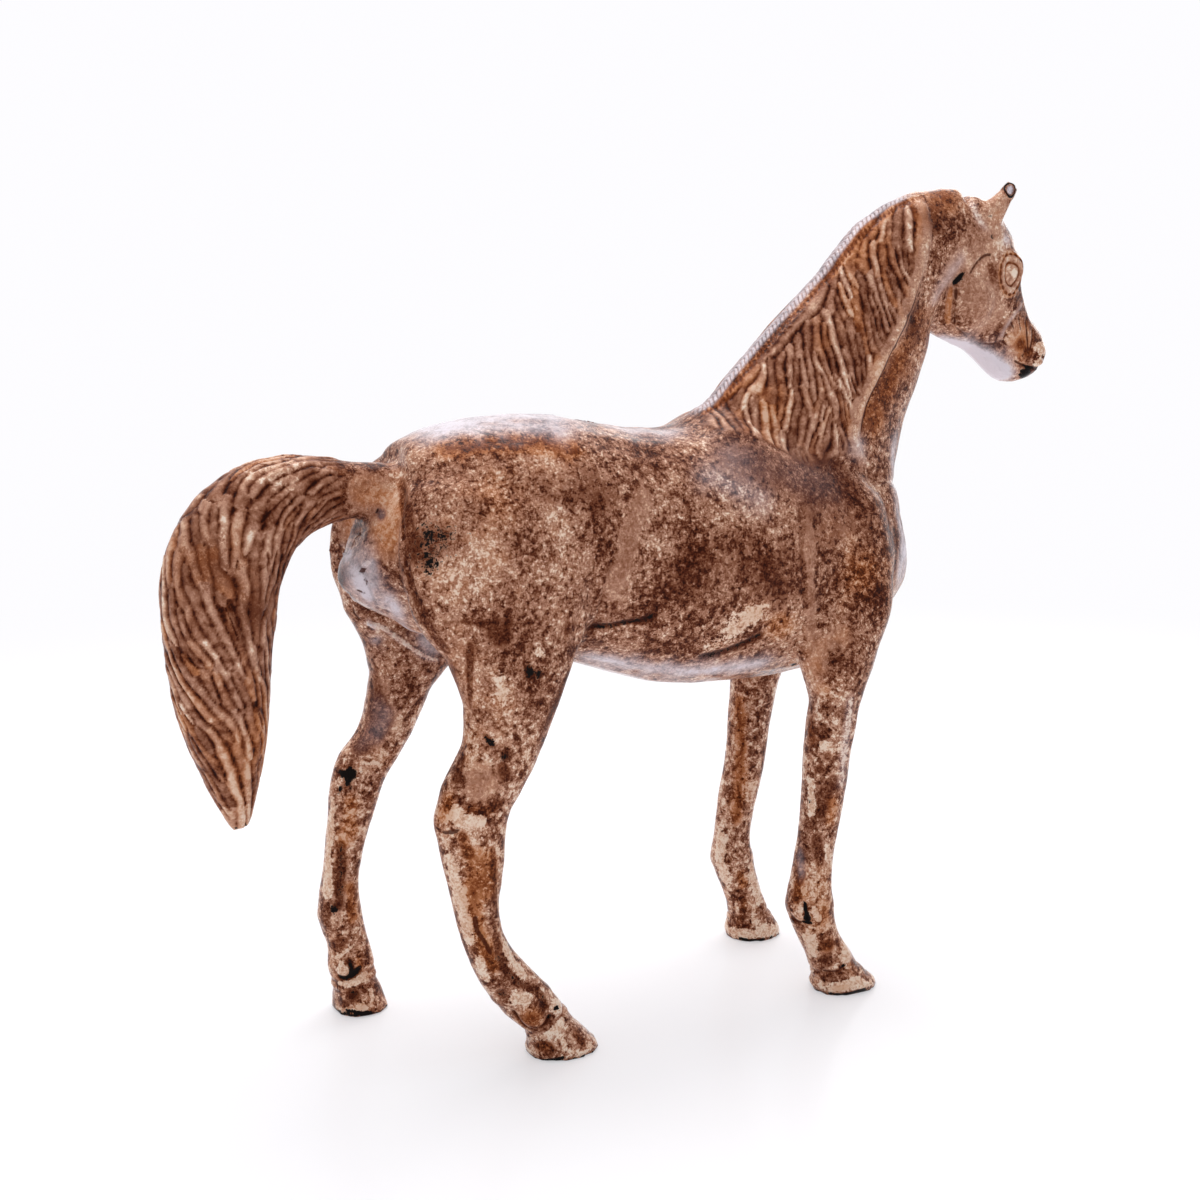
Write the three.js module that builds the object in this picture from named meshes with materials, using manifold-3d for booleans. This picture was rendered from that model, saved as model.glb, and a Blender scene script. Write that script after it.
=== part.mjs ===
// A standing horse figurine, assembled from hollow and solid aluminium castings.
// The trunk is two half shells that meet on the median plane. The neck and head, the four legs and the tail
// are separate castings. Each has a spigot or a sleeve that seats in the trunk and is held by cross pins.
// Millimetres. +X is the way the horse faces, +Y is its left side, +Z is up.
// The origin is under the middle of the figure, on the surface that it stands on.
import * as THREE from "three";
import { mergeVertices } from "three/addons/utils/BufferGeometryUtils.js";
import Module from "manifold-3d";

const wasm = await Module();
wasm.setup();

// Fits
const SEAT_GAP = 0.3; // clearance between pieces that seat on each other
const SEAM_GAP = 0.3; // clearance between the two trunk shells

// Castings
const TRUNK_WALL = 5; // wall of the trunk shells
const TRUNK_CORE_REAR = -66; // the hollow of the trunk runs from here
const TRUNK_CORE_FRONT = 80; // to here
const SLEEVE_WALL = 3.5; // wall of the neck's sleeve
const SLEEVE_DEPTH = 9; // how far the sleeve reaches into the trunk
const NECK_CORE_TOP = 258; // height where the hollow of the neck ends
const SOCKET_MARGIN = 15; // how far round a leg's socket the trunk stays solid
const ROUND = 2; // fullness of a round section
const FULL = 2.2; // fullness of a slightly squared section

// Combed locks that stand out from the neck and the tail
const LOCK_HEIGHT = 0.8;
const LOCK_HALF_WIDTH = 2.2;
const LOCK_ROOT = 1.2; // how far a lock reaches under the surface
const LOCK_CROWN = 0.45; // width of the top of a lock, as a share of its foot
const LOCK_TIP = 0.35; // size of the ends of a lock, as a share of its middle

// Spigots, pins and dowels
const LEG_SPIGOT_RADIUS = 5;
const LEG_SPIGOT_LENGTH = 14;
const LEG_PIN_RADIUS = 1.5;
const LEG_PIN_REACH = 3; // how far a leg pin passes beyond its spigot
const TAIL_SPIGOT_RADIUS = 5.5;
const TAIL_SPIGOT_LENGTH = 15;
const TAIL_PIN_RADIUS = 1.6;
const TAIL_PIN_INSET = 6; // from the tail joint forward to the axis of its pin
const TAIL_PIN_DROP = 3; // from the axis of the spigot down to the axis of the pin
const NECK_PIN_RADIUS = 1.5;
const DOWEL_RADIUS = 2;
const DOWEL_LENGTH = 16;
const BOSS_RADIUS = 6; // boss round each half of a dowel
const BOSS_OVERLAP = 2; // how far a boss sinks into the trunk wall
const BOSS_LENGTH = 13; // from the median plane

// Joint planes: a point on the median plane, and the slope down towards the front in degrees
const NECK_JOINT = { x: 52, z: 199, slope: 11 };
const FORELEG_JOINT = { x: 60, z: 134, slope: -15 };
const HINDLEG_JOINT = { x: -75, z: 137, slope: 6 };
const TAIL_JOINT = { x: -116, z: 188, slope: 90 };

// Where the dowels cross the seam of the trunk, and the edge that each one is near
const DOWELS = {
  seam_dowel_croup: { x: -56, edge: "top" },
  seam_dowel_withers: { x: -4, edge: "top" },
  seam_dowel_flank: { x: -38, edge: "bottom" },
  seam_dowel_girth: { x: 20, edge: "bottom" },
  seam_dowel_chest: { x: 76, edge: "bottom" },
};

// Sections along each form: x, y, z of the centre, then half sizes ahead, behind and across.
// For a form that runs towards the front, ahead is up. For one that runs down, ahead is to the front.
const BARREL = [
  [-110, 0, 182, 12, 20, 9],
  [-104, 0, 179, 23, 28, 20],
  [-92, 0, 178, 31.5, 36, 29],
  [-75, 0, 177, 36.5, 40, 34],
  [-50, 0, 174, 40.5, 41, 36],
  [-25, 0, 168, 42, 42.5, 35.5],
  [0, 0, 162, 48, 44, 38],
  [22, 0, 160, 55, 44.5, 38.5],
  [45, 0, 160, 46, 44.5, 36.5],
  [66, 0, 160, 37, 41, 33],
  [84, 0, 162, 32, 31, 27],
  [95, 0, 164, 28, 22.5, 20],
  [101, 0, 166, 16, 12, 10],
];
const NECK = [
  [40, 0, 174, 40, 44, 24],
  [60, 0, 204, 38, 44, 22],
  [75, 0, 227, 32, 36, 18.5],
  [89, 0, 247, 26.5, 29.5, 16],
  [102, 0, 262, 25.5, 23, 14.5],
  [117, 0, 271, 24, 22, 13.5],
  [131, 0, 273, 21.5, 18, 12.5],
];
const HEAD = [
  [121, 0, 277, 22, 22, 12],
  [131, 0, 268, 26, 27, 13.5],
  [141, 0, 258, 21.5, 26, 13.5],
  [150, 0, 249, 14.5, 20, 11],
  [158, 0, 241, 10.5, 17.5, 8.5],
  [164.5, 0, 234, 11, 14, 8],
  [168.5, 0, 230, 8.5, 10.5, 7.5],
  [170.5, 0, 227.8, 5, 6.5, 5],
];
const EAR_RIGHT = [
  [138, -7.5, 283, 6, 6, 5],
  [143, -8.5, 289, 4, 4.4, 3.6],
  [147, -9, 294, 2.8, 3, 2.7],
  [149, -9.5, 297, 2.4, 2.4, 2.4],
];
const EAR_LEFT = [
  [135, 7, 283, 5, 5, 4.5],
  [138, 10, 288, 3.6, 3.6, 3.4],
  [140, 13, 291.5, 2.6, 2.6, 2.6],
  [141.5, 15, 293.5, 2.4, 2.4, 2.4],
];
const CHEEK = { centre: [131, 0, 254], half: [16, 15.5, 16] };
const BROW = { centre: [150, 0, 266], half: [7, 13.8, 9] };
const TAIL = [
  [-96, 0, 190, 8, 8, 8],
  [-116, 0, 190.5, 9.5, 9.7, 9],
  [-127, 0, 190.5, 12, 12.2, 10.5],
  [-139, 0, 187, 14.5, 16, 12],
  [-150, 0, 179, 18, 19, 13.5],
  [-157, 0, 167, 19, 19.5, 14],
  [-159, 0, 153, 18.5, 18.5, 13.5],
  [-159.5, 0, 139, 17, 17, 12.5],
  [-158.8, 0, 124, 15.2, 15.2, 11],
  [-157.5, 0, 110, 12.3, 12.3, 9],
  [-156.3, 0, 97, 8.3, 8.3, 6.5],
  [-155.3, 0, 87, 4.5, 4.5, 4],
  [-154.9, 0, 83, 2.5, 2.5, 2.5],
];
const FORELEG_RIGHT = [
  [54, -15, 190, 14, 16, 8],
  [61, -20, 175, 20, 21, 12],
  [65, -24, 158, 20, 22, 12],
  [63, -27.5, 142, 15.5, 19, 10.5],
  [59, -30.5, 124, 12.8, 18.5, 9.5],
  [55.8, -31, 108, 9.6, 10, 8.6],
  [53.2, -31, 88, 8.8, 9, 7.7],
  [51.6, -31, 72, 8.2, 8, 7],
  [49.3, -31, 57, 7.4, 7.3, 6.4],
  [47.6, -31, 45, 7.9, 8, 6.6],
  [47.2, -31, 36, 8.6, 9.2, 7.2],
  [49.2, -31, 27.5, 8, 8.2, 7],
  [52.8, -31, 19, 7.2, 7.2, 6.7],
  [57, -31, 11, 8.2, 8.2, 8],
  [59.5, -31, 6, 8.5, 8.5, 8.2],
];
const FORELEG_LEFT = [
  [54, 15, 190, 14, 16, 8],
  [61, 20, 175, 20, 21, 12],
  [66, 24, 158, 20, 22, 12],
  [66, 27.5, 142, 17.5, 19.5, 10.5],
  [64, 30.5, 124, 14.5, 15.5, 9.5],
  [61.5, 31, 105, 10, 9.6, 8.6],
  [59.2, 31, 88, 8.8, 8.4, 7.7],
  [57.4, 31, 72, 8.6, 8, 7],
  [54.2, 31, 56, 7.6, 7.4, 6.4],
  [52.2, 31, 43, 7.6, 7.4, 6.6],
  [52.4, 31, 34, 8.3, 8.5, 7.2],
  [55.4, 31, 25, 7.7, 7.8, 7],
  [58.2, 31, 17, 7.4, 7.6, 6.7],
  [60.2, 31, 10, 8.2, 8.2, 7.8],
  [61.3, 31, 6, 8.4, 8.4, 8],
];
const HINDLEG_RIGHT = [
  [-66, -13, 200, 22, 22, 9],
  [-68, -19, 187, 33, 34, 16],
  [-71, -23.5, 168, 36.5, 37.5, 16],
  [-73, -27, 150, 31, 31, 13],
  [-74, -30, 136, 25, 20, 11],
  [-75, -32, 120, 18, 14.5, 9.5],
  [-78.6, -33, 105, 13.7, 14, 8.4],
  [-86, -33, 92, 13, 12.8, 7.7],
  [-87.8, -33, 82, 12.4, 11.8, 7.3],
  [-87.2, -33, 70, 11, 10.4, 6.7],
  [-86.6, -33, 57, 8.2, 7.8, 6.1],
  [-84, -33, 44, 7, 7, 6],
  [-78, -33, 32, 8, 8, 6.8],
  [-70, -33, 22, 8.4, 8.6, 7.4],
  [-63.2, -33, 14, 8, 7.4, 7.2],
  [-59, -33, 8, 8, 8.2, 8],
];
const HINDLEG_LEFT = [
  [-67, 13, 200, 22, 22, 9],
  [-70, 19, 187, 33, 36, 16],
  [-74, 23.5, 168, 36, 41, 16],
  [-78, 27, 150, 30, 36, 13],
  [-82, 30, 136, 20.5, 22.5, 11],
  [-87, 32, 119, 11.5, 11.5, 9.5],
  [-92, 33, 104, 10, 10, 8.4],
  [-101, 33, 90, 9.5, 10, 7.7],
  [-104.5, 33, 81, 9, 9, 7.3],
  [-106.8, 33, 70, 7.7, 7.8, 6.7],
  [-110.2, 33, 52, 6.4, 6.6, 6.1],
  [-111, 33, 37, 7.8, 8.2, 7],
  [-108.5, 33, 27, 7.2, 7.6, 6.8],
  [-106.8, 33, 18, 7.8, 8.4, 7.4],
  [-106, 33, 10, 7.6, 8.4, 7.6],
  [-105.4, 33, 6, 7.8, 8, 7.8],
];

// Sections of each hoof, from the coronet to the sole
const HOOF_FORE_RIGHT = [
  [58, -31, 10.5, 8, 8, 8],
  [59.5, -31, 8, 10, 9.5, 9],
  [62, -31, 3, 12.3, 11.8, 10.2],
  [63.3, -31, 0, 13.2, 13, 10.6],
];
const HOOF_FORE_LEFT = [
  [60.5, 31, 10.5, 8, 8, 8],
  [61, 31, 8, 9.6, 9.4, 8.8],
  [62.2, 31, 3, 10.9, 10.7, 9.8],
  [62.8, 31, 0, 11.6, 11.4, 10.2],
];
const HOOF_HIND_RIGHT = [
  [-59, -33, 10.5, 8, 8, 8],
  [-58, -33, 8, 9.8, 9.4, 8.9],
  [-56, -33, 3, 12.3, 11.8, 10.2],
  [-55, -33, 0, 13.2, 13, 10.6],
];
const HOOF_HIND_LEFT = [
  [-105.5, 33, 10.5, 7.6, 7.6, 7.8],
  [-105.3, 33, 8, 8.8, 8.6, 8.9],
  [-104.7, 33, 3, 9.8, 9.6, 10.2],
  [-104.3, 33, 0, 10.4, 10.2, 10.6],
];

// Locks on either side, each through places along the form, as shares of it, and turns round it in degrees.
// Turns are from the crest of the neck and from the inside of the tail. The first lock borders the mane.
const MANE_LOCKS = [
  [[0.21, 99], [0.42, 98], [0.55, 97], [0.66, 88], [0.77, 64], [0.83, 30]],
  [[0.2, 90], [0.26, 78]],
  [[0.21, 50], [0.29, 32]],
  [[0.22, 67], [0.35, 34]],
  [[0.27, 75], [0.37, 40]],
  [[0.27, 88], [0.4, 44]],
  [[0.38, 86], [0.5, 47]],
  [[0.43, 87], [0.53, 47]],
  [[0.47, 90], [0.56, 55]],
  [[0.59, 84], [0.67, 46]],
  [[0.69, 67], [0.78, 30]],
  [[0.24, 22], [0.46, 25]],
  [[0.58, 23], [0.68, 8]],
];
const TAIL_LOCKS = [
  [[0.12, 106], [0.25, 66]],
  [[0.14, 128], [0.28, 92]],
  [[0.16, 146], [0.28, 129]],
  [[0.3, 112], [0.41, 96]],
  [[0.34, 73], [0.48, 60]],
  [[0.34, 148], [0.41, 122]],
  [[0.42, 138], [0.58, 92]],
  [[0.45, 154], [0.58, 121]],
  [[0.47, 96], [0.71, 50]],
  [[0.55, 154], [0.66, 112]],
  [[0.58, 102], [0.67, 79]],
  [[0.66, 62], [0.77, 38]],
  [[0.67, 154], [0.8, 121]],
];

// How finely the forms are faceted
const STEPS_PER_STATION = 2;
const STEPS_PER_LOCK = 4;
const SEARCH_STEPS = 500;
const CORE_STATIONS = 8;
const TRUNK_SIDES = 24;
const LIMB_SIDES = 14;
const ROD_SIDES = 12;
const BEYOND = 1000; // longer than the whole figure

// Colours
const PATINA = 0x7d4c30;
const BARE_METAL = 0xa9a6a2;

const LEGS = {
  foreleg_right: { stations: FORELEG_RIGHT, hoof: HOOF_FORE_RIGHT, joint: FORELEG_JOINT },
  foreleg_left: { stations: FORELEG_LEFT, hoof: HOOF_FORE_LEFT, joint: FORELEG_JOINT },
  hindleg_right: { stations: HINDLEG_RIGHT, hoof: HOOF_HIND_RIGHT, joint: HINDLEG_JOINT },
  hindleg_left: { stations: HINDLEG_LEFT, hoof: HOOF_HIND_LEFT, joint: HINDLEG_JOINT },
};

// Solids

// A closed geometry with outward faces as a solid.
function solid(geometry) {
  const bare = new THREE.BufferGeometry();
  bare.setAttribute("position", geometry.getAttribute("position"));
  bare.setIndex(geometry.index);
  const merged = mergeVertices(bare, 1e-4);
  return new wasm.Manifold(
    new wasm.Mesh({
      numProp: 3,
      vertProperties: merged.getAttribute("position").array,
      triVerts: new Uint32Array(merged.index.array),
    }),
  );
}

// The largest body of a solid as a geometry.
function geometryOf(body) {
  const largest = body.decompose().reduce((a, b) => (b.volume() > a.volume() ? b : a));
  const mesh = largest.getMesh();
  const geometry = new THREE.BufferGeometry();
  geometry.setAttribute("position", new THREE.BufferAttribute(Float32Array.from(mesh.vertProperties), 3));
  geometry.setIndex(Array.from(mesh.triVerts));
  geometry.computeVertexNormals();
  return geometry;
}

// Everything in a list joined into one solid.
function join(bodies) {
  return bodies.reduce((a, b) => a.add(b));
}

// Signed power, which squares off a round section.
function power(value, exponent) {
  return Math.sign(value) * Math.abs(value) ** exponent;
}

// Smooth curves through the centres and through the half sizes of a form's stations.
function curvesOf(stations) {
  return {
    centres: new THREE.CatmullRomCurve3(stations.map((s) => new THREE.Vector3(s[0], s[1], s[2]))),
    halves: new THREE.CatmullRomCurve3(stations.map((s) => new THREE.Vector3(s[3], s[4], s[5]))),
  };
}

// A point on a form, at a share of its length and a turn round it. Sections contain the side-to-side
// direction. They are square to the form's centre line, or all level.
function pointOn({ centres, halves }, share, turn, { grow = 0, fullness = FULL, level = false }) {
  const along = level ? new THREE.Vector3(0, 0, -1) : centres.getTangent(share);
  const ahead = new THREE.Vector3(-along.z, 0, along.x).normalize();
  const half = halves.getPoint(share).addScalar(grow);
  const lift = power(Math.cos(turn), 2 / fullness) * (Math.cos(turn) > 0 ? half.x : half.y);
  const side = power(Math.sin(turn), 2 / fullness) * half.z;
  return centres.getPoint(share).addScaledVector(ahead, lift).add(new THREE.Vector3(0, side, 0));
}

// A closed solid through rings that have the same number of points.
function throughRings(rings) {
  const sides = rings[0].length;
  const last = (rings.length - 1) * sides;
  const faces = [];
  for (let ring = 0; ring < last; ring += sides) {
    for (let k = 0; k < sides; k++) {
      const next = (k + 1) % sides;
      faces.push(ring + k, ring + sides + k, ring + next);
      faces.push(ring + next, ring + sides + k, ring + sides + next);
    }
  }
  for (let k = 1; k < sides - 1; k++) {
    faces.push(0, k, k + 1);
    faces.push(last, last + k + 1, last + k);
  }
  const points = rings.flat().flatMap((point) => point.toArray());
  const geometry = new THREE.BufferGeometry();
  geometry.setAttribute("position", new THREE.Float32BufferAttribute(points, 3));
  geometry.setIndex(faces);
  return solid(geometry);
}

// A closed form through stations.
function loft(stations, { sides = LIMB_SIDES, ...shape } = {}) {
  const curves = curvesOf(stations);
  const steps = (stations.length - 1) * STEPS_PER_STATION;
  const rings = [];
  for (let i = 0; i <= steps; i++) {
    const turns = Array.from({ length: sides }, (_, k) => (2 * Math.PI * k) / sides);
    rings.push(turns.map((turn) => pointOn(curves, i / steps, turn, shape)));
  }
  return throughRings(rings);
}

// Combed locks on both sides of a round form, thickest in the middle.
function combedLocks(stations, locks) {
  const curves = curvesOf(stations);
  const bodies = [];
  for (const places of locks) {
    const path = new THREE.CatmullRomCurve3(places.map(([share, turn]) => new THREE.Vector3(share, turn, 0)));
    const steps = (places.length - 1) * STEPS_PER_LOCK;
    for (const side of [-1, 1]) {
      const rings = [];
      for (let i = 0; i <= steps; i++) {
        const { x: share, y: degrees } = path.getPoint(i / steps);
        const middle = side * THREE.MathUtils.degToRad(degrees);
        const size = THREE.MathUtils.lerp(LOCK_TIP, 1, Math.sin((Math.PI * i) / steps));
        const at = (turn, grow) => pointOn(curves, share, turn, { grow, fullness: ROUND });
        const foot = (size * LOCK_HALF_WIDTH) / at(middle, 0).distanceTo(curves.centres.getPoint(share));
        const crown = foot * LOCK_CROWN;
        rings.push([
          at(middle - crown, size * LOCK_HEIGHT),
          at(middle + crown, size * LOCK_HEIGHT),
          at(middle + foot, -LOCK_ROOT),
          at(middle - foot, -LOCK_ROOT),
        ]);
      }
      bodies.push(throughRings(rings));
    }
  }
  return join(bodies);
}

// An ellipsoid.
function ellipsoid({ centre, half }) {
  const geometry = new THREE.SphereGeometry(1, TRUNK_SIDES, LIMB_SIDES);
  geometry.scale(...half);
  geometry.translate(...centre);
  return solid(geometry);
}

// A round rod between two points.
function rod(from, to, radius) {
  const along = new THREE.Vector3().subVectors(to, from);
  const geometry = new THREE.CylinderGeometry(radius, radius, along.length(), ROD_SIDES);
  const turn = new THREE.Quaternion().setFromUnitVectors(new THREE.Vector3(0, 1, 0), along.clone().normalize());
  geometry.applyQuaternion(turn);
  geometry.translate(...new THREE.Vector3().addVectors(from, to).multiplyScalar(0.5).toArray());
  return solid(geometry);
}

// A rod that runs from side to side.
function crossRod(x, z, fromY, toY, radius) {
  return rod(new THREE.Vector3(x, fromY, z), new THREE.Vector3(x, toY, z), radius);
}

// All that is above (side 1) or below (side -1) a joint plane that is moved by a lift.
function halfSpace(joint, side, lift) {
  const geometry = new THREE.BoxGeometry(BEYOND, BEYOND, BEYOND);
  geometry.translate(0, 0, (side * BEYOND) / 2 + lift);
  geometry.rotateY(THREE.MathUtils.degToRad(joint.slope));
  geometry.translate(joint.x, 0, joint.z);
  return solid(geometry);
}

// All that is on one side of the median plane, from a distance out.
function flank(side, distance) {
  const geometry = new THREE.BoxGeometry(BEYOND, BEYOND, BEYOND);
  geometry.translate(0, side * (BEYOND / 2 + distance), 0);
  return solid(geometry);
}

// Where the centre line of a form meets a joint plane.
function seatOf(stations, joint) {
  const { centres } = curvesOf(stations);
  const slope = THREE.MathUtils.degToRad(joint.slope);
  const height = (p) => (p.x - joint.x) * Math.sin(slope) + (p.z - joint.z) * Math.cos(slope);
  const points = centres.getPoints(SEARCH_STEPS);
  return points.reduce((a, b) => (Math.abs(height(b)) < Math.abs(height(a)) ? b : a));
}

// Top, bottom and half width of the barrel at a place along it.
function barrelAt(x) {
  const { centres, halves } = curvesOf(BARREL);
  const near = (t) => Math.abs(centres.getPoint(t).x - x);
  let best = 0;
  for (let i = 0; i <= SEARCH_STEPS; i++) {
    const t = i / SEARCH_STEPS;
    best = near(t) < near(best) ? t : best;
  }
  const centre = centres.getPoint(best);
  const half = halves.getPoint(best);
  return { top: centre.z + half.x, bottom: centre.z - half.y, across: half.z };
}

// Outer forms
const barrel = loft(BARREL, { sides: TRUNK_SIDES });
const neck = loft(NECK, { sides: TRUNK_SIDES, fullness: ROUND });
const head = join([loft(HEAD), ellipsoid(CHEEK), ellipsoid(BROW), loft(EAR_RIGHT), loft(EAR_LEFT)]);
const tailForm = loft(TAIL, { fullness: ROUND });
const upperLegs = Object.values(LEGS).map((leg) =>
  loft(leg.stations).intersect(halfSpace(leg.joint, 1, SEAT_GAP)),
);
const neckBase = neck.intersect(halfSpace(NECK_JOINT, -1, -SEAT_GAP));
const dock = tailForm.intersect(halfSpace(TAIL_JOINT, 1, SEAT_GAP));
const trunkForm = join([barrel, neckBase, dock, ...upperLegs]);

// Legs: each is cut at its joint plane and has a spigot on top
const seats = {};
const legs = {};
const legSockets = [];
const legPins = {};
const legPinHoles = {};
for (const [name, leg] of Object.entries(LEGS)) {
  const seat = seatOf(leg.stations, leg.joint);
  const outward = Math.sign(seat.y);
  const pinZ = seat.z + LEG_SPIGOT_LENGTH / 2;
  const inner = seat.y - outward * (LEG_SPIGOT_RADIUS + LEG_PIN_REACH);
  const top = new THREE.Vector3(seat.x, seat.y, seat.z + LEG_SPIGOT_LENGTH);
  const socketTop = new THREE.Vector3(seat.x, seat.y, top.z + SEAT_GAP);
  const root = new THREE.Vector3(seat.x, seat.y, seat.z - LEG_SPIGOT_RADIUS);
  const pinEnd = outward * BEYOND;
  const hole = crossRod(seat.x, pinZ, inner - outward * SEAT_GAP, pinEnd, LEG_PIN_RADIUS + SEAT_GAP);
  const shaft = loft(leg.stations).intersect(halfSpace(leg.joint, -1, 0));
  seats[name] = seat;
  legs[name] = join([shaft, loft(leg.hoof, { level: true }), rod(root, top, LEG_SPIGOT_RADIUS)]).subtract(hole);
  legSockets.push(loft(leg.stations, { grow: SEAT_GAP }).intersect(halfSpace(leg.joint, -1, SEAT_GAP)));
  legSockets.push(rod(root, socketTop, LEG_SPIGOT_RADIUS + SEAT_GAP));
  legPins[name.replace("leg", "leg_pin")] = crossRod(seat.x, pinZ, inner, pinEnd, LEG_PIN_RADIUS);
  legPinHoles[name] = hole;
}

// Tail: cut at the dock, with a spigot that the two shells clamp and one pin through all three
const tailRoot = new THREE.Vector3(TAIL_JOINT.x - TAIL_SPIGOT_RADIUS, 0, TAIL_JOINT.z);
const tailSpigotEnd = new THREE.Vector3(TAIL_JOINT.x + TAIL_SPIGOT_LENGTH, 0, TAIL_JOINT.z);
const tailSocketEnd = new THREE.Vector3(tailSpigotEnd.x + SEAT_GAP, 0, TAIL_JOINT.z);
const tailPinX = TAIL_JOINT.x + TAIL_PIN_INSET;
const tailPinZ = TAIL_JOINT.z - TAIL_PIN_DROP;
const tailPinRod = crossRod(tailPinX, tailPinZ, -BEYOND, BEYOND, TAIL_PIN_RADIUS);
const tailPinHole = crossRod(tailPinX, tailPinZ, -BEYOND, BEYOND, TAIL_PIN_RADIUS + SEAT_GAP);
const tail = tailForm
  .intersect(halfSpace(TAIL_JOINT, -1, 0))
  .add(rod(tailRoot, tailSpigotEnd, TAIL_SPIGOT_RADIUS))
  .add(combedLocks(TAIL, TAIL_LOCKS))
  .subtract(tailPinHole);
const tailSocket = loft(TAIL, { fullness: ROUND, grow: SEAT_GAP })
  .intersect(halfSpace(TAIL_JOINT, -1, SEAT_GAP))
  .add(rod(tailRoot, tailSocketEnd, TAIL_SPIGOT_RADIUS + SEAT_GAP));

// Neck and head: hollow from the base, with a sleeve that seats inside the trunk
const sleeveInset = TRUNK_WALL + SEAT_GAP;
const neckAt = (grow) => loft(NECK, { sides: TRUNK_SIDES, fullness: ROUND, grow });
const neckCoreTop = { x: 0, z: NECK_CORE_TOP, slope: 0 };
const neckCore = neckAt(-sleeveInset - SLEEVE_WALL).intersect(halfSpace(neckCoreTop, -1, 0));
const sleeve = neckAt(-sleeveInset)
  .intersect(halfSpace(NECK_JOINT, 1, -SLEEVE_DEPTH))
  .intersect(halfSpace(NECK_JOINT, -1, TRUNK_WALL));
const neckSocket = join([
  neckAt(SEAT_GAP).intersect(halfSpace(NECK_JOINT, 1, -SEAT_GAP)),
  neckAt(-TRUNK_WALL).intersect(halfSpace(NECK_JOINT, 1, -SLEEVE_DEPTH - SEAT_GAP)),
]);
const neckSeat = seatOf(NECK, NECK_JOINT);
const neckPinZ = neckSeat.z - SLEEVE_DEPTH / 2;
const neckPinHole = crossRod(neckSeat.x, neckPinZ, -BEYOND, BEYOND, NECK_PIN_RADIUS + SEAT_GAP);
const neckAndMane = neck.add(combedLocks(NECK, MANE_LOCKS));
const neckAndHead = join([neckAndMane.intersect(halfSpace(NECK_JOINT, 1, 0)), head, sleeve])
  .subtract(neckCore)
  .subtract(neckPinHole);

// Hollow of the trunk: inside the barrel by the wall, and above the sockets of the legs
const legSocketTop = LEG_SPIGOT_LENGTH + SEAT_GAP + TRUNK_WALL;
const legSocketReach = LEG_SPIGOT_RADIUS + SEAT_GAP + SOCKET_MARGIN;
const coreStations = [];
for (let i = 0; i < CORE_STATIONS; i++) {
  const x = THREE.MathUtils.lerp(TRUNK_CORE_REAR, TRUNK_CORE_FRONT, i / (CORE_STATIONS - 1));
  const { top, bottom, across } = barrelAt(x);
  const overSockets = Object.values(seats)
    .filter((seat) => Math.abs(seat.x - x) < legSocketReach)
    .map((seat) => seat.z + legSocketTop);
  const coreTop = top - TRUNK_WALL;
  const coreBottom = Math.max(bottom + TRUNK_WALL, ...overSockets);
  const half = (coreTop - coreBottom) / 2;
  coreStations.push([x, 0, coreTop - half, half, half, across - TRUNK_WALL]);
}
const trunkCore = loft(coreStations, { sides: TRUNK_SIDES });

// Dowels across the seam, each in a boss that stands on the trunk wall
const bosses = [];
const dowels = {};
const dowelHoles = [];
for (const [name, { x, edge }] of Object.entries(DOWELS)) {
  const inset = TRUNK_WALL + BOSS_RADIUS - BOSS_OVERLAP;
  const { top, bottom } = barrelAt(x);
  const z = edge === "top" ? top - inset : bottom + inset;
  const reach = DOWEL_LENGTH / 2;
  bosses.push(crossRod(x, z, -BOSS_LENGTH, BOSS_LENGTH, BOSS_RADIUS));
  dowels[name] = crossRod(x, z, -reach, reach, DOWEL_RADIUS);
  dowelHoles.push(crossRod(x, z, -reach - SEAT_GAP, reach + SEAT_GAP, DOWEL_RADIUS + SEAT_GAP));
}

// Trunk shells
const trunk = trunkForm
  .subtract(trunkCore)
  .add(join(bosses).intersect(trunkForm))
  .subtract(join([...legSockets, ...Object.values(legPinHoles), ...dowelHoles]))
  .subtract(join([tailSocket, tailPinHole, neckSocket, neckPinHole]));
const neckPins = trunkForm
  .intersect(crossRod(neckSeat.x, neckPinZ, -BEYOND, BEYOND, NECK_PIN_RADIUS))
  .subtract(neckCore);

const CASTINGS = {
  trunk_right_shell: trunk.intersect(flank(-1, SEAM_GAP / 2)),
  trunk_left_shell: trunk.intersect(flank(1, SEAM_GAP / 2)),
  neck_and_head: neckAndHead,
  ...legs,
  tail,
};
const FASTENERS = {
  tail_pin: tailPinRod.intersect(trunkForm),
  neck_pin_right: neckPins.intersect(flank(-1, 0)),
  neck_pin_left: neckPins.intersect(flank(1, 0)),
  ...Object.fromEntries(Object.entries(legPins).map(([name, pin]) => [name, pin.intersect(trunkForm)])),
  ...dowels,
};

// The figure, stood on its soles with the origin under its middle
const group = new THREE.Group();
group.name = "horse_figurine";
for (const [name, body] of Object.entries({ ...CASTINGS, ...FASTENERS })) {
  const bare = name in FASTENERS;
  const material = new THREE.MeshStandardMaterial({
    color: bare ? BARE_METAL : PATINA,
    metalness: bare ? 0.9 : 0.3,
    roughness: 0.4,
  });
  const mesh = new THREE.Mesh(geometryOf(body), material);
  mesh.name = name;
  group.add(mesh);
}
const bounds = new THREE.Box3().setFromObject(group);
const middle = bounds.getCenter(new THREE.Vector3());
group.children.forEach((mesh) => mesh.geometry.translate(-middle.x, -middle.y, -bounds.min.z));

export default group;
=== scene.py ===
"""A standing horse figurine of aluminium castings, under a mottled brown patina and clear lacquer.

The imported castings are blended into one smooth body, cut apart again at their joint planes, and then
modelled: combed mane and tail, crest, head, folds, hooves. Lengths in the tables are millimetres in the
part's frame: +X is the way the horse faces, +Y is its left side, +Z is up.
"""

import functools
import itertools
import math

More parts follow.
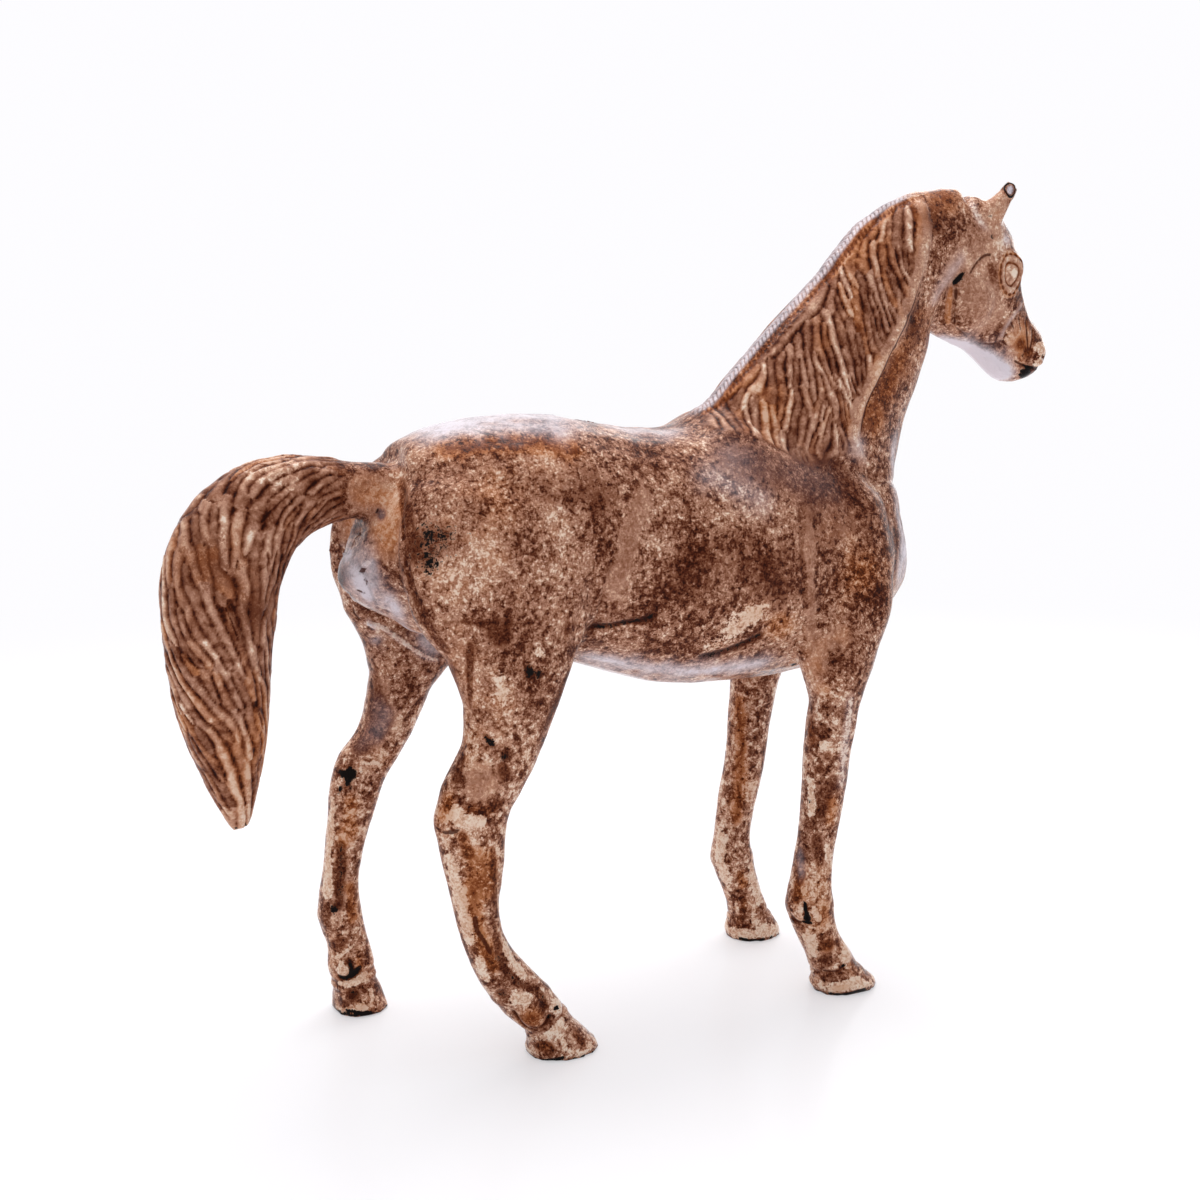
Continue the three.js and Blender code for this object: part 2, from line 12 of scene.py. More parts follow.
import bmesh
import bpy
import numpy as np
from bpy.props import FloatProperty, FloatVectorProperty, PointerProperty
from bpy.types import Operator, Panel, PropertyGroup
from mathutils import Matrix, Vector
from mathutils.kdtree import KDTree


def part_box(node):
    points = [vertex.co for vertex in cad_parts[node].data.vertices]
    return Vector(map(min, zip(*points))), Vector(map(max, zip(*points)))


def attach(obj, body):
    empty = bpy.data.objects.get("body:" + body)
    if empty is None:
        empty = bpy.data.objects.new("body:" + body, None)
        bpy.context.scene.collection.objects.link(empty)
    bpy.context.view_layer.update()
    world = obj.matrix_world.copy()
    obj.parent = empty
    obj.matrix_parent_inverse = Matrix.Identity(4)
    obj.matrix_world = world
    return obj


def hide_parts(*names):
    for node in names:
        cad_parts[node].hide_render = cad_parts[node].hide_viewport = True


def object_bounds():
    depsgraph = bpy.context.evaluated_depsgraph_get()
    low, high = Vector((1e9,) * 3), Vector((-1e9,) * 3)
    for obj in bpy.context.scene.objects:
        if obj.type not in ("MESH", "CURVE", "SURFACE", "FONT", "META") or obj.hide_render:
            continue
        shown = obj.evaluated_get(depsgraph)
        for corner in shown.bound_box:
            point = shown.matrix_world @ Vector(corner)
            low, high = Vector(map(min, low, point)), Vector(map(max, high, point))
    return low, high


bl_info = {
    "name": "Horse figurine",
    "version": (1, 0, 0),
    "blender": (4, 5, 0),
    "location": "View3D > Sidebar > Horse",
    "description": "Models the castings, patina and studio of a standing horse figurine",
    "category": "Object",
}

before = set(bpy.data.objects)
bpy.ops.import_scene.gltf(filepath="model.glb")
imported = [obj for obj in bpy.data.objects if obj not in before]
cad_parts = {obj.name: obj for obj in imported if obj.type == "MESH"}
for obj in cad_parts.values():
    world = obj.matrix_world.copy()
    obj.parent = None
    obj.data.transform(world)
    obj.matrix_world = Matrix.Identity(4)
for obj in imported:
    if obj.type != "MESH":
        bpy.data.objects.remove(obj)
CAD_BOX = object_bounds()

MM = 0.001
FAR = 400.0  # longer than the whole figure

# Joint planes of the castings: a point, and the slope down towards the front in degrees
NECK_JOINT = ((53.4, 0, 199), 11)
FORELEG_JOINT = ((61.4, 0, 134), -15)
HINDLEG_JOINT = ((-73.6, 0, 137), 6)
TAIL_JOINT_X = -114.6  # the tail's joint is upright
FORELEG_REAR = 38.0  # the forelegs are ahead of this
HINDLEG_FRONT = -30.0  # the hind legs are behind this
LEG_INSIDE = 19.5  # the legs begin this far from the median plane
DOCK_HALF_WIDTH = 16.0  # the tail stays within this of the median plane
EYE = np.array((148.9, -12.4, 263.4))  # centre of the right eyeball
EYE_LIDS = (6.2, 8.0, 7.6)  # half sizes of the eye to the outer lid
EAR_RIM = (2.2, 2.8, 2.7)  # half sizes of the open end of an ear
# Open end and axis of each ear, right and left
EAR_ENDS = {
    -1: (np.array((148.0, -11.5, 295.0)), np.array((0.55, -0.16, 0.82))),
    1: (np.array((140.1, 15.3, 291.1)), np.array((0.47, 0.62, 0.62))),
}

# Guide strands of the mane on the right side of the neck, each a list of (x, z)
MANE_GUIDES = [
    [(91.9, 275.1), (92.3, 266.5), (96.8, 257.9), (98.1, 254.4)],
    [(85.9, 260.0), (87.6, 251.4), (90.0, 243.6)],
    [(82.5, 262.1), (83.7, 254.2), (86.5, 247.1), (88.0, 243.6)],
    [(78.8, 261.3), (80.0, 249.9), (83.3, 239.3)],
    [(75.9, 257.0), (75.4, 245.7), (77.9, 237.2), (78.6, 234.3)],
    [(71.6, 258.5), (71.8, 251.3), (72.7, 248.5)],
    [(71.8, 245.6), (72.6, 239.3), (74.1, 232.2)],
    [(67.8, 247.1), (69.1, 240.0), (69.5, 236.5)],
    [(64.8, 247.8), (64.3, 238.6), (66.3, 230.1), (68.9, 221.7), (69.6, 218.8)],
    [(60.1, 244.9), (58.4, 235.8), (60.5, 228.8), (62.9, 223.1)],
    [(56.8, 244.2), (54.4, 235.8), (53.9, 227.4), (54.5, 219.0)],
    [(52.8, 239.3), (51.6, 232.3), (52.0, 223.2)],
    [(48.7, 235.8), (47.1, 228.8), (46.3, 223.3)],
    [(41.8, 232.3), (40.2, 225.4), (38.6, 217.8)],
    [(65.2, 218.9), (66.3, 211.1), (69.0, 204.7)],
    [(59.5, 212.7), (56.5, 207.1), (54.6, 200.9)],
    [(54.3, 212.1), (51.4, 205.9), (49.5, 199.2)],
    [(49.7, 212.8), (48.4, 207.3), (47.2, 202.5)],
    [(43.8, 213.6), (42.5, 208.8)],
    [(38.4, 214.4), (38.9, 208.1), (37.7, 201.5)],
    [(35.9, 215.1), (35.5, 208.2), (34.1, 202.9)],
    [(46.2, 199.7), (46.7, 195.0)],
    [(50.3, 198.9), (51.2, 193.4)],
    [(66.6, 257.0), (58.8, 248.5), (52.2, 242.8), (46.9, 237.2), (40.0, 231.6)],
    [(71.7, 262.1), (67.9, 254.2), (66.6, 249.9)],
    [(37.4, 228.8), (32.4, 224.0), (27.3, 219.8)],
    [(89.3, 282.7), (83.6, 276.6), (78.7, 270.0)],
    [(97.4, 286.3), (91.8, 280.2), (89.5, 275.1)],
    [(102.6, 286.3), (100.9, 278.9), (100.0, 271.6)],
]

# Outline of the combed mane in side view, along the crest, down the neck ridge and back along the base
MANE_OUTLINE = [
    (12, 209), (20, 215), (27.3, 221.5), (37.4, 230.5), (46.9, 239.5), (58.8, 251), (66.6, 259.5),
    (78.7, 272.5), (89.3, 284.5), (97.4, 289), (105, 291), (106.5, 283), (105, 275), (102, 267),
    (99, 258), (95.5, 249), (91, 242), (85, 233.5), (79, 224), (73.5, 216.5), (70, 211), (68.8, 205),
    (69, 198), (60, 196.5), (52, 193), (46, 194.5), (38, 200), (31, 203), (24, 206), (17, 207),
]  # fmt: skip

# Guide strands of the tail on its right side, each a list of (x, y, z)
TAIL_GUIDES = [
    [(-122.5, -7.9, 197.6), (-130.9, -9.8, 194.8), (-137.5, -11.6, 189.5), (-142.1, -12.3, 184.0)],
    [(-118.7, -9.1, 193.4), (-126.0, -10.3, 191.3), (-132.4, -11.2, 185.9), (-134.9, -10.4, 181.0)],
    [(-117.0, -9.1, 189.2), (-123.3, -9.5, 187.0), (-127.5, -8.9, 183.0)],
    [(-126.0, -5.8, 200.1), (-135.1, -7.5, 198.9), (-143.2, -9.0, 196.0), (-147.7, -10.0, 193.0)],
    [(-142.1, -10.5, 192.8), (-146.9, -12.1, 187.5), (-148.8, -12.8, 184.4)],
    [(-156.5, -8.6, 190.1), (-157.4, -11.3, 183.9), (-158.5, -13.6, 171.3)],
    [(-153.5, -12.0, 184.6), (-154.6, -13.4, 176.7), (-156.1, -13.6, 170.3)],
    [(-162.6, -6.9, 187.0), (-163.0, -9.2, 182.4), (-162.5, -11.3, 177.7)],
    [(-165.7, -6.1, 184.6), (-166.1, -8.5, 179.2)],
    [(-168.5, -3.9, 182.1), (-168.9, -7.8, 175.3)],
    [(-145.9, -12.7, 172.8), (-145.8, -11.6, 164.5), (-146.8, -11.2, 157.9)],
    [(-149.5, -13.2, 168.2), (-149.0, -12.2, 159.9), (-149.6, -12.0, 154.9)],
    [(-141.2, -11.0, 172.4), (-141.8, -9.4, 165.6)],
    [(-171.9, -6.3, 172.9), (-171.9, -8.0, 162.6), (-169.5, -10.2, 154.6), (-166.8, -11.1, 148.0)],
    [(-169.5, -9.1, 169.0), (-167.9, -11.1, 161.1), (-161.6, -12.7, 146.1), (-158.4, -12.3, 140.0)],
    [(-164.8, -12.1, 164.2), (-163.5, -12.6, 157.7), (-155.9, -12.4, 141.5), (-153.4, -11.5, 135.3)],
    [(-160.4, -13.5, 160.9), (-157.3, -13.2, 154.1), (-155.0, -12.8, 147.2)],
    [(-173.7, -6.0, 164.0), (-173.4, -6.6, 154.3), (-171.0, -8.4, 146.2), (-166.9, -10.5, 139.7)],
    [(-174.2, -4.9, 145.9), (-171.1, -7.6, 138.7), (-166.3, -9.8, 131.2), (-163.3, -10.3, 126.9)],
    [(-174.1, -4.1, 142.5), (-171.8, -6.3, 134.4), (-167.7, -8.7, 127.9), (-164.0, -9.3, 121.7)],
    [(-172.4, -5.3, 131.8), (-169.0, -6.9, 124.3), (-165.5, -8.3, 119.2)],
    [(-171.0, -4.5, 122.3), (-167.4, -5.5, 114.6), (-163.1, -6.9, 107.7), (-160.6, -6.3, 102.1)],
    [(-168.8, -4.3, 114.5), (-165.1, -4.8, 106.6), (-160.5, -5.4, 98.5), (-157.2, -4.7, 91.9)],
    [(-158.9, -13.4, 157.5), (-155.8, -12.8, 147.3), (-152.5, -11.2, 135.1), (-147.8, -7.3, 117.0)],
    [(-154.0, -13.4, 157.1), (-151.5, -11.9, 146.8), (-149.7, -10.5, 138.1)],
    [(-161.7, -12.3, 140.3), (-156.8, -11.5, 131.4), (-154.4, -10.7, 124.4)],
    [(-156.1, -10.7, 123.7), (-152.6, -9.0, 114.5), (-151.6, -7.9, 109.1)],
    [(-149.8, -9.4, 126.1), (-146.6, -6.3, 117.6), (-146.5, -4.9, 109.5)],
]

# Sections of the tail from the dock to the tip: x and z of the centre, half sizes inside, outside, across
TAIL_SECTIONS = [
    (-94.6, 190, 8, 8, 8), (-114.6, 190.5, 9.5, 9.7, 9), (-125.6, 190.5, 12, 12.2, 10.5),
    (-137.6, 187, 14.5, 16, 12), (-148.6, 179, 18, 19, 13.5), (-155.6, 167, 19, 19.5, 14),
    (-157.6, 153, 18.5, 18.5, 13.5), (-158.1, 139, 17, 17, 12.5), (-157.4, 124, 15.2, 15.2, 11),
    (-156.1, 110, 12.3, 12.3, 9), (-154.9, 97, 8.3, 8.3, 6.5), (-153.9, 87, 4.5, 4.5, 4),
    (-153.5, 83, 2.5, 2.5, 2.5),
]  # fmt: skip


def rounded(path):
    """A path with its corners cut twice."""
    path = np.array(path, float)
    for _ in range(2):
        early = 0.75 * path[:-1] + 0.25 * path[1:]
        late = 0.25 * path[:-1] + 0.75 * path[1:]
        inner = np.stack([early, late], axis=1).reshape(-1, 3)[1:-1]
        path = np.concatenate([path[:1], inner, path[-1:]])
    return path


class Stroke:
    """A rounded ridge or groove along a path, and the mark that it leaves in the patina."""

    def __init__(self, path, width, lift=0.0, **marks):
        self.path = rounded(path)
        self.width = width
        self.lift = lift
        self.marks = marks


class Spot:
    """A round lump, pit or blotch at a point, and the mark that it leaves in the patina."""

    def __init__(self, at, radius, lift=0.0, **marks):
        self.at = np.array(at, float)
        self.radius = radius
        self.lift = lift
        self.marks = marks


class Ring:
    """A band round a leg at a height, sloping along the leg's forward line, and its mark in the patina."""

    def __init__(self, level, slope, width, lift, **marks):
        self.level = level
        self.slope = slope
        self.width = width
        self.lift = lift
        self.marks = marks


# Fullness of the body: where the castings are dressed fuller or leaner, on both sides
BODY_FORMS = [
    Spot((86.3, -16.0, 185.0), 11, 1.9),
    Spot((94.0, -13.0, 187.0), 7, 1.1),
    Spot((91.0, -19.0, 183.0), 7, 1.3),
    Spot((97.0, -19.0, 154.0), 6, -0.8),
    Spot((86.0, -23.0, 174.0), 9, 0.3),
    Spot((77.5, -33.0, 140.0), 9, 2.0),
    Spot((106.0, -9.5, 224.0), 9, 1.0),
    Spot((110.5, -7.0, 236.0), 7, 1.2),
    Spot((154.0, -2.0, 225.5), 8, 1.1),
    Spot((150.0, -7.0, 276.0), 6, 0.9),
    Spot((153.5, -8.0, 262.0), 5, 0.7),
    Spot((129.0, -3.0, 292.0), 6, 0.8),
    Spot((131.8, -3.0, 291.8), 3.0, 0.9),
    Spot((137.5, -6.5, 290.0), 4.0, 0.8),
    Spot((-101.0, -10.0, 199.0), 8, 1.6),
    Spot((-114.0, -15.0, 170.0), 9, -1.6),
    Spot((-103.0, -30.0, 146.0), 9, 1.8),
    Spot((2.0, -8.0, 121.0), 18, 0.8),
    Spot((21.0, -3.0, 213.5), 7, 1.2),
    Spot((-30.0, -9.0, 209.5), 10, -0.4),
]

# Folds, seams and blotches of the body, on both sides, and painted reflection of the white surround along the
# belly, croup, chest and buttocks
BODY_STROKES = [
    Stroke([(-32.4, -35.1, 174.8), (-37.3, -35.0, 162.9), (-39.1, -30.9, 148.2), (-40.0, -20.7, 135.7)], 0.9,
           -0.8, line=0.6, dark=0.4),
    Stroke([(-19.0, -29.0, 194.0), (-28.6, -35.1, 176.8), (-33.5, -35.0, 162.9), (-35.4, -31.2, 148.2)], 4.6,
           0.5, bare=0.85),
    Stroke([(1.0, -27.5, 129.5), (4.9, -28.8, 130.2), (12.3, -30.2, 131.5), (19.9, -32.7, 134.8),
            (25.5, -34.0, 137.8)], 1.6, -0.9, black=0.7, dark=1.2),
    Stroke([(-40.0, -17.0, 131.5), (-21.7, -18.0, 129.0), (-5.8, -20.0, 126.0), (10.4, -22.0, 125.0),
            (27.0, -24.0, 126.0), (36.0, -25.0, 127.0)], 4.2, 0.0, haze=1.1, pale=0.3),
    Stroke([(-40.0, -6.0, 129.0), (-5.8, -6.0, 121.0), (30.0, -6.0, 119.0)], 8.0, 0.0, haze=0.7),
    Stroke([(42.1, -33.1, 183.3), (40.8, -36.9, 162.6), (44.5, -34.8, 145.0), (45.4, -33.4, 132.0)], 2.4, 0.4,
           bare=0.85),
    Stroke([(38.6, -33.1, 183.3), (37.4, -36.9, 162.6), (41.0, -34.8, 145.0)], 1.4, -0.3, dark=0.4),
    Stroke([(-96.0, -34.6, 151.0), (-88.4, -38.0, 151.6), (-81.7, -39.3, 149.3), (-74.0, -39.8, 150.2)], 1.1,
           -0.3, dark=0.9),
    Stroke([(-88.1, -38.2, 145.3), (-87.7, -36.7, 132.1), (-88.3, -34.7, 118.7), (-92.0, -33.8, 107.8)], 1.3,
           -0.5, dark=1.0, black=0.3),
    Stroke([(-92.0, -32.0, 140.0), (-92.0, -30.0, 125.0), (-95.0, -31.0, 108.0)], 3.2, 0.0, dark=0.6,
           warm=0.4),
    Stroke([(87.0, -22.8, 175.7), (87.3, -25.3, 166.1), (88.5, -25.2, 156.9)], 2.4, -0.2, dark=0.45),
    Stroke([(79.0, -29.0, 182.0), (79.5, -31.0, 172.0)], 1.5, 0.0, warm=1.4, pale=0.4),
    Stroke([(93.5, -12.0, 183.0), (95.5, -14.0, 170.0), (95.8, -15.0, 157.0), (92.0, -14.0, 146.0)], 3.4, 0.0,
           haze=0.6),
    Stroke([(97.4, -12.1, 206.0), (95.8, -12.7, 201.6), (94.3, -13.0, 197.2), (93.4, -12.6, 192.0),
            (94.7, -10.9, 188.0)], 3.0, 0.0, haze=0.8),
    Stroke([(-96.0, -4.0, 203.0), (-82.3, -4.0, 210.5), (-62.9, -6.6, 213.1), (-43.2, -9.0, 212.4),
            (-28.8, -11.0, 209.4)], 9.0, 0.0, haze=0.95),
    Stroke([(-28.8, -8.0, 209.4), (-8.0, -8.0, 206.0), (10.0, -8.0, 207.0)], 6.0, 0.0, haze=0.8),
    Stroke([(-93.0, -15.0, 203.0), (-76.5, -20.3, 205.8), (-56.3, -23.0, 206.0), (-39.0, -25.0, 203.2)], 4.2,
           0.0, warm=0.8, dark=0.25),
    Stroke([(-4.0, -27.0, 195.8), (8.0, -31.0, 191.5), (18.0, -34.5, 186.2), (29.9, -35.1, 182.3)], 5.0, 0.0,
           haze=0.3, pale=0.35),
    Stroke([(-114.5, -8.0, 180.0), (-116.0, -8.0, 168.0), (-114.0, -10.0, 158.0), (-108.0, -12.0, 148.0),
            (-100.0, -13.0, 139.0)], 6.5, 0.0, haze=0.75),
    Stroke([(-110.6, 19.8, 170.4), (-117.1, -3.7, 163.5), (-113.2, 0.1, 155.2), (-100.9, 23.7, 144.7),
            (-96.9, 23.0, 140.0)], 0.8, 0.5, pale=0.9, haze=0.6),
    Stroke([(-111.2, 21.2, 169.2), (-117.4, -1.7, 161.7), (-104.9, 26.5, 149.2), (-101.1, 25.3, 143.1)], 0.7,
           -0.4, line=0.9),
    Stroke([(-113.9, 2.9, 171.4), (-115.2, -8.3, 165.6), (-113.0, -9.1, 159.1), (-109.8, -7.7, 154.1)], 2.0,
           0, haze=0.7),
    Stroke([(-114.6, -4.9, 170.1), (-114.4, -10.7, 165.2), (-112.3, -10.3, 160.5), (-110.1, -9.5, 155.6),
            (-106.3, -8.2, 152.2), (-102.9, -8.3, 150.3)], 1.3, -0.8, line=0.5, dark=0.8),
    Stroke([(-108.5, -8.7, 153.8), (-105.0, -8.3, 151.5)], 0.7, 0.5, pale=1.0),
    Stroke([(-111.4, -13.0, 170.8), (-110.9, -13.1, 164.3), (-110.4, -11.3, 158.5)], 1.7, 0, dark=0.8,
           haze=0.35),
    Stroke([(-107.9, -14.8, 159.5), (-101.5, -12.0, 151.4), (-82.6, 19.2, 136.9), (-74.5, 21.1, 128.8)], 2.8,
           0, haze=1.0),
    Stroke([(-100.3, 24.5, 142.5), (-96.3, 21.6, 141.9), (-90.9, 20.8, 137.0), (-86.0, 20.1, 133.2),
            (-80.4, 20.5, 129.4), (-75.1, 21.6, 127.3)], 0.8, 0.5, pale=1.0, haze=0.4),
    Stroke([(-98.2, 24.7, 138.0), (-95.6, 24.1, 133.7)], 2.5, 0, haze=0.9, dark=0.3),
    Stroke([(-105.3, -26.7, 171.7), (-104.2, -28.7, 164.3), (-101.8, -30.6, 156.4), (-97.9, -32.3, 148.4),
            (-93.0, -33.3, 140.1)], 1.5, -0.3, dark=1.2),
    Stroke([(-101.0, -14.3, 188.1), (-104.1, -22.1, 182.6), (-104.9, -24.9, 176.6)], 1.1, -0.5, dark=1.5),
    Stroke([(-111.6, -9.3, 174.9), (-108.7, -14.2, 175.3), (-105.4, -16.5, 176.6)], 0.7, -0.4, line=0.5),
    Stroke([(-108.4, 15.6, 177.1), (-111.6, -5.3, 176.1), (-111.0, -11.3, 173.8)], 0.7, -0.4, line=0.5),
    Stroke([(-38.7, -34.9, 162.3), (-41.0, -32.2, 152.1), (-41.3, -28.4, 144.8), (-48.3, -34.9, 139.7)], 1.3,
           0.4, pale=0.35),
    Stroke([(-98.0, -6.8, 194.5), (-102.2, -22.7, 185.7), (-103.4, -28.0, 176.8), (-103.3, -30.9, 168.9)],
           2.6, 0, dark=0.75),
    Stroke([(-92.2, -16.9, 202.1), (-80.0, -20.9, 204.5), (-63.5, -23.6, 205.1), (-48.6, -26.2, 203.2),
            (-38.0, -27.2, 200.6)], 4.0, 0, warm=0.8, dark=0.2),
    Stroke([(-93.9, -3.9, 206.2), (-82.6, -10.6, 209.5), (-66.6, -14.7, 210.6), (-51.5, -17.3, 210.0),
            (-38.9, -19.4, 208.1)], 4.6, 0, haze=0.5),
]
BODY_SPOTS = [
    Spot((-99.0, -31.9, 176.8), 7.0, black=0.4, dark=0.2),
    Spot((-100.3, -32.8, 169.2), 4.6, black=0.5, dark=0.2),
    Spot((-94.0, -34.0, 178.0), 7.5, black=0.37, dark=0.15),
    Spot((-79.0, -39.8, 146.5), 4.5, dark=0.9),
    Spot((-52.5, -37.7, 145.8), 3.5, dark=0.8, black=0.2),
    Spot((-58.0, -36.0, 192.0), 13, dark=0.35),
    Spot((-38.0, -34.0, 190.0), 10, dark=0.4),
    Spot((-75.0, -34.0, 190.0), 10, pale=0.3, warm=0.4),
    Spot((-70.0, -39.0, 160.0), 16, pale=0.08),
    Spot((14.0, -27.8, 199.0), 8, dark=0.45, haze=0.2),
    Spot((24.6, -30.2, 196.0), 9, dark=0.5, haze=0.06),
    Spot((40.0, -29.0, 192.5), 10, dark=0.55, haze=0.06),
    Spot((52.0, -28.0, 190.0), 10, dark=0.55, haze=0.05),
    Spot((62.0, -24.0, 190.0), 9, dark=0.5),
    Spot((52.0, -34.0, 175.0), 14, dark=0.35),
    Spot((70.0, -31.0, 172.0), 10, dark=0.3),
    Spot((12.0, -38.0, 165.0), 17, dark=0.3),
    Spot((28.0, -38.0, 155.0), 13, dark=0.3),
    Spot((-8.0, -38.0, 160.0), 13, dark=0.35),
    Spot((66.0, -35.0, 155.0), 11, warm=0.9),
    Spot((84.0, -28.0, 166.0), 9, pale=0.25),
    Spot((5.0, -31.0, 134.5), 4.2, pale=0.5, warm=0.3),
    Spot((10.5, -33.5, 139.5), 5.2, pale=0.62, warm=0.3),
    Spot((16.6, -36.2, 144.0), 5.4, pale=0.64, warm=0.3),
    Spot((21.5, -37.0, 146.0), 4.0, pale=0.52, warm=0.3),
    Spot((31.0, -36.0, 139.5), 5.0, warm=1.2, pale=0.3),
    Spot((46.5, -35.0, 131.0), 4.2, bare=0.9, warm=0.3),
    Spot((55.0, -37.5, 133.5), 5.0, bare=0.8, warm=0.3),
    Spot((46.4, -36.3, 124.0), 4.0, bare=0.9, warm=0.3),
    Spot((48.3, -36.4, 115.5), 3.0, bare=0.7, warm=0.3),
    Spot((47.0, -20.9, 122.3), 3.0, 0.8, bare=0.8),
    Spot((47.0, -20.9, 122.3), 1.6, -0.9, black=1.5),
    Spot((-110.0, -9.5, 190.6), 7.5, bare=1.2, warm=0.8, pale=0.42),
    Spot((-106.8, -14.0, 182.0), 7, bare=1.2, warm=0.8, pale=0.42),
    Spot((-107.5, -15.0, 174.0), 6, bare=1.1, warm=0.7, pale=0.3),
    Spot((-108.2, -10.7, 184.2), 2.3, -2.6, dark=1.6, haze=0.5),
    Spot((-120.0, -7.0, 180.5), 3.0, black=0.6, dark=0.8),
]

# Features of the neck and head, on both sides, with painted reflection under the jaw, along the throat and on the
# brow
HEAD_STROKES = [
    Stroke([(109.3, -6.1, 290.2), (107.7, -10.3, 283.4), (107.1, -12.5, 276.8), (104.5, -13.8, 269.6),
            (101.9, -14.5, 261.6), (99.1, -15.0, 254.4), (96.8, -15.3, 248.6), (93.0, -15.8, 242.9),
            (87.1, -16.9, 234.3), (81.2, -18.0, 225.0), (75.7, -19.2, 218.0), (72.1, -20.1, 211.7),
            (70.5, -20.7, 206.0), (71.3, -21.1, 198.9), (76.9, -19.7, 192.8)], 2.4, 1.6, bare=1.5, pale=0.5),
    Stroke([(107.0, -12.5, 274.0), (102.4, -15.0, 258.0), (96.0, -16.0, 244.0), (83.7, -18.0, 225.5),
            (75.5, -20.0, 212.5), (74.5, -21.0, 203.0)], 0.8, -0.5, line=1.0),
    Stroke([(157.3, -9.3, 252.7), (151.4, -10.5, 247.2), (148.2, -9.8, 242.5), (148.2, -8.8, 239.4)], 0.8,
           0.6, bare=0.6, haze=0.4),
    Stroke([(124.5, -9.6, 243.4), (126.8, -9.1, 242.3), (135.1, -6.9, 238.4), (142.8, -6.9, 236.3),
            (147.7, -8.2, 237.3)], 0.8, -0.7, line=0.7),
    Stroke([(120.7, -11.0, 258.9), (121.0, -10.3, 250.8), (122.6, -8.1, 243.8)], 1.0, 0.8, warm=1.6,
           bare=0.7),
    Stroke([(122.9, -12.1, 258.1), (123.0, -11.7, 250.8), (124.6, -9.5, 243.8)], 0.7, -0.9, line=1.0),
    Stroke([(118.9, -11.0, 258.0), (119.0, -10.3, 250.8), (120.4, -8.1, 243.8)], 0.7, -0.5, line=0.6),
    Stroke([(121.6, -11.6, 258.6), (123.6, -12.2, 261.2), (126.4, -12.8, 264.0)], 1.1, -1.2, black=1.5),
    Stroke([(126.2, -12.8, 263.6), (130.3, -13.0, 269.1), (134.0, -12.9, 273.7)], 0.8, 0.5, bare=0.7),
    Stroke([(128.0, -13.0, 262.5), (132.0, -13.2, 268.0), (135.9, -13.2, 270.5), (139.5, -12.8, 270.5)], 0.9,
           -0.6, line=0.8),
    Stroke([(110.4, -12.1, 250.2), (118.0, -12.9, 262.8), (126.4, -12.8, 271.2)], 2.6, 0.7, haze=0.35,
           bare=0.6),
    Stroke([(112.5, -12.8, 262.0), (118.0, -12.8, 268.0), (123.0, -12.4, 274.0)], 1.0, -0.4, dark=0.6),
    Stroke([(161.0, -7.8, 231.8), (154.0, -8.4, 235.4), (148.9, -8.2, 238.2)], 0.55, -0.5, line=1.0),
    Stroke([(161.2, -8.0, 232.6), (154.5, -9.2, 238.6), (149.4, -9.6, 241.4)], 0.55, -0.5, line=1.0),
    Stroke([(161.6, -8.0, 233.4), (156.0, -9.4, 241.0), (151.6, -10.2, 245.6)], 0.55, -0.5, line=1.0),
    Stroke([(162.2, -8.0, 233.8), (158.6, -9.0, 241.6), (156.0, -9.8, 247.4)], 0.55, -0.5, line=1.0),
    Stroke([(163.0, -8.0, 234.0), (162.0, -8.0, 240.8), (161.0, -8.0, 246.4)], 0.55, -0.5, line=1.0),
    Stroke([(163.8, -8.0, 234.0), (165.2, -7.6, 239.6), (165.8, -7.2, 243.8)], 0.55, -0.5, line=0.9),
    Stroke([(173.5, -4.5, 227.9), (167.5, -7.0, 227.4), (161.0, -7.2, 228.6), (156.5, -7.2, 230.6)], 0.7,
           -1.0, line=1.2, black=0.5),
    Stroke([(168.0, -7.6, 229.6), (172.0, -6.8, 230.0)], 0.9, 0.7, bare=0.8),
    Stroke([(126.6, -3.0, 238.9), (135.1, -3.0, 235.0), (141.7, -3.0, 231.9), (148.8, -3.5, 228.4),
            (155.2, -3.8, 226.1)], 5.2, 0.0, haze=1.3, pale=0.5),
    Stroke([(149.0, -5.0, 284.0), (152.0, -6.5, 277.0)], 3.4, 0.0, haze=1.0, pale=0.6),
    Stroke([(136.8, -11.3, 285.1), (140.0, -11.9, 284.0), (143.4, -11.8, 283.8)], 0.7, -0.5, line=0.7),
    Stroke([(134.0, -6.1, 289.9), (131.9, -9.9, 286.6), (134.1, -11.0, 282.5), (137.6, -11.6, 279.3)], 1.4,
           0.2, haze=0.3, pale=0.7),
    Stroke([(146.2, -10.1, 279.2), (147.2, -10.8, 276.2), (145.1, -11.6, 273.9)], 2.0, 0, haze=0.9, pale=0.9),
    Stroke([(141.8, -12.0, 275.3), (145.1, -11.6, 273.9)], 1.5, 0.2, pale=1.2),
    # Painted shadow at the base of the ear
    Stroke([(139.0, -11.9, 286.3), (141.1, -12.2, 285.6), (142.6, -12.2, 286.4)], 2.2, -0.2, dark=0.6,
           warm=0.4),
    Stroke([(135.7, -13.2, 268.8), (138.7, -13.3, 265.5), (139.6, -13.2, 258.8)], 2.0, 0, dark=0.55),
    Stroke([(149.2, -8.8, 239.6), (154.5, -8.1, 237.3)], 0.9, 0.3, pale=1.1, warm=0.5),
    Stroke([(150.0, -9.6, 241.9), (155.5, -8.5, 238.9)], 0.8, 0.3, pale=0.9, warm=0.5),
    Stroke([(166.0, -7.8, 235.0), (169.6, -7.0, 237.7)], 0.9, 0.3, pale=1.1, warm=0.5),
    Stroke([(122.9, -1.5, 241.1), (127.8, -1.0, 238.5), (135.6, -1.2, 235.8), (142.8, -3.3, 232.7),
            (149.5, -4.4, 230.0), (155.9, -4.3, 226.4), (160.2, -4.1, 224.4)], 3.4, 0, haze=1.05),
    Stroke([(146.1, -0.8, 229.6), (154.5, -1.8, 225.6), (160.1, -2.4, 223.6)], 4.0, 0, haze=1.0),
]
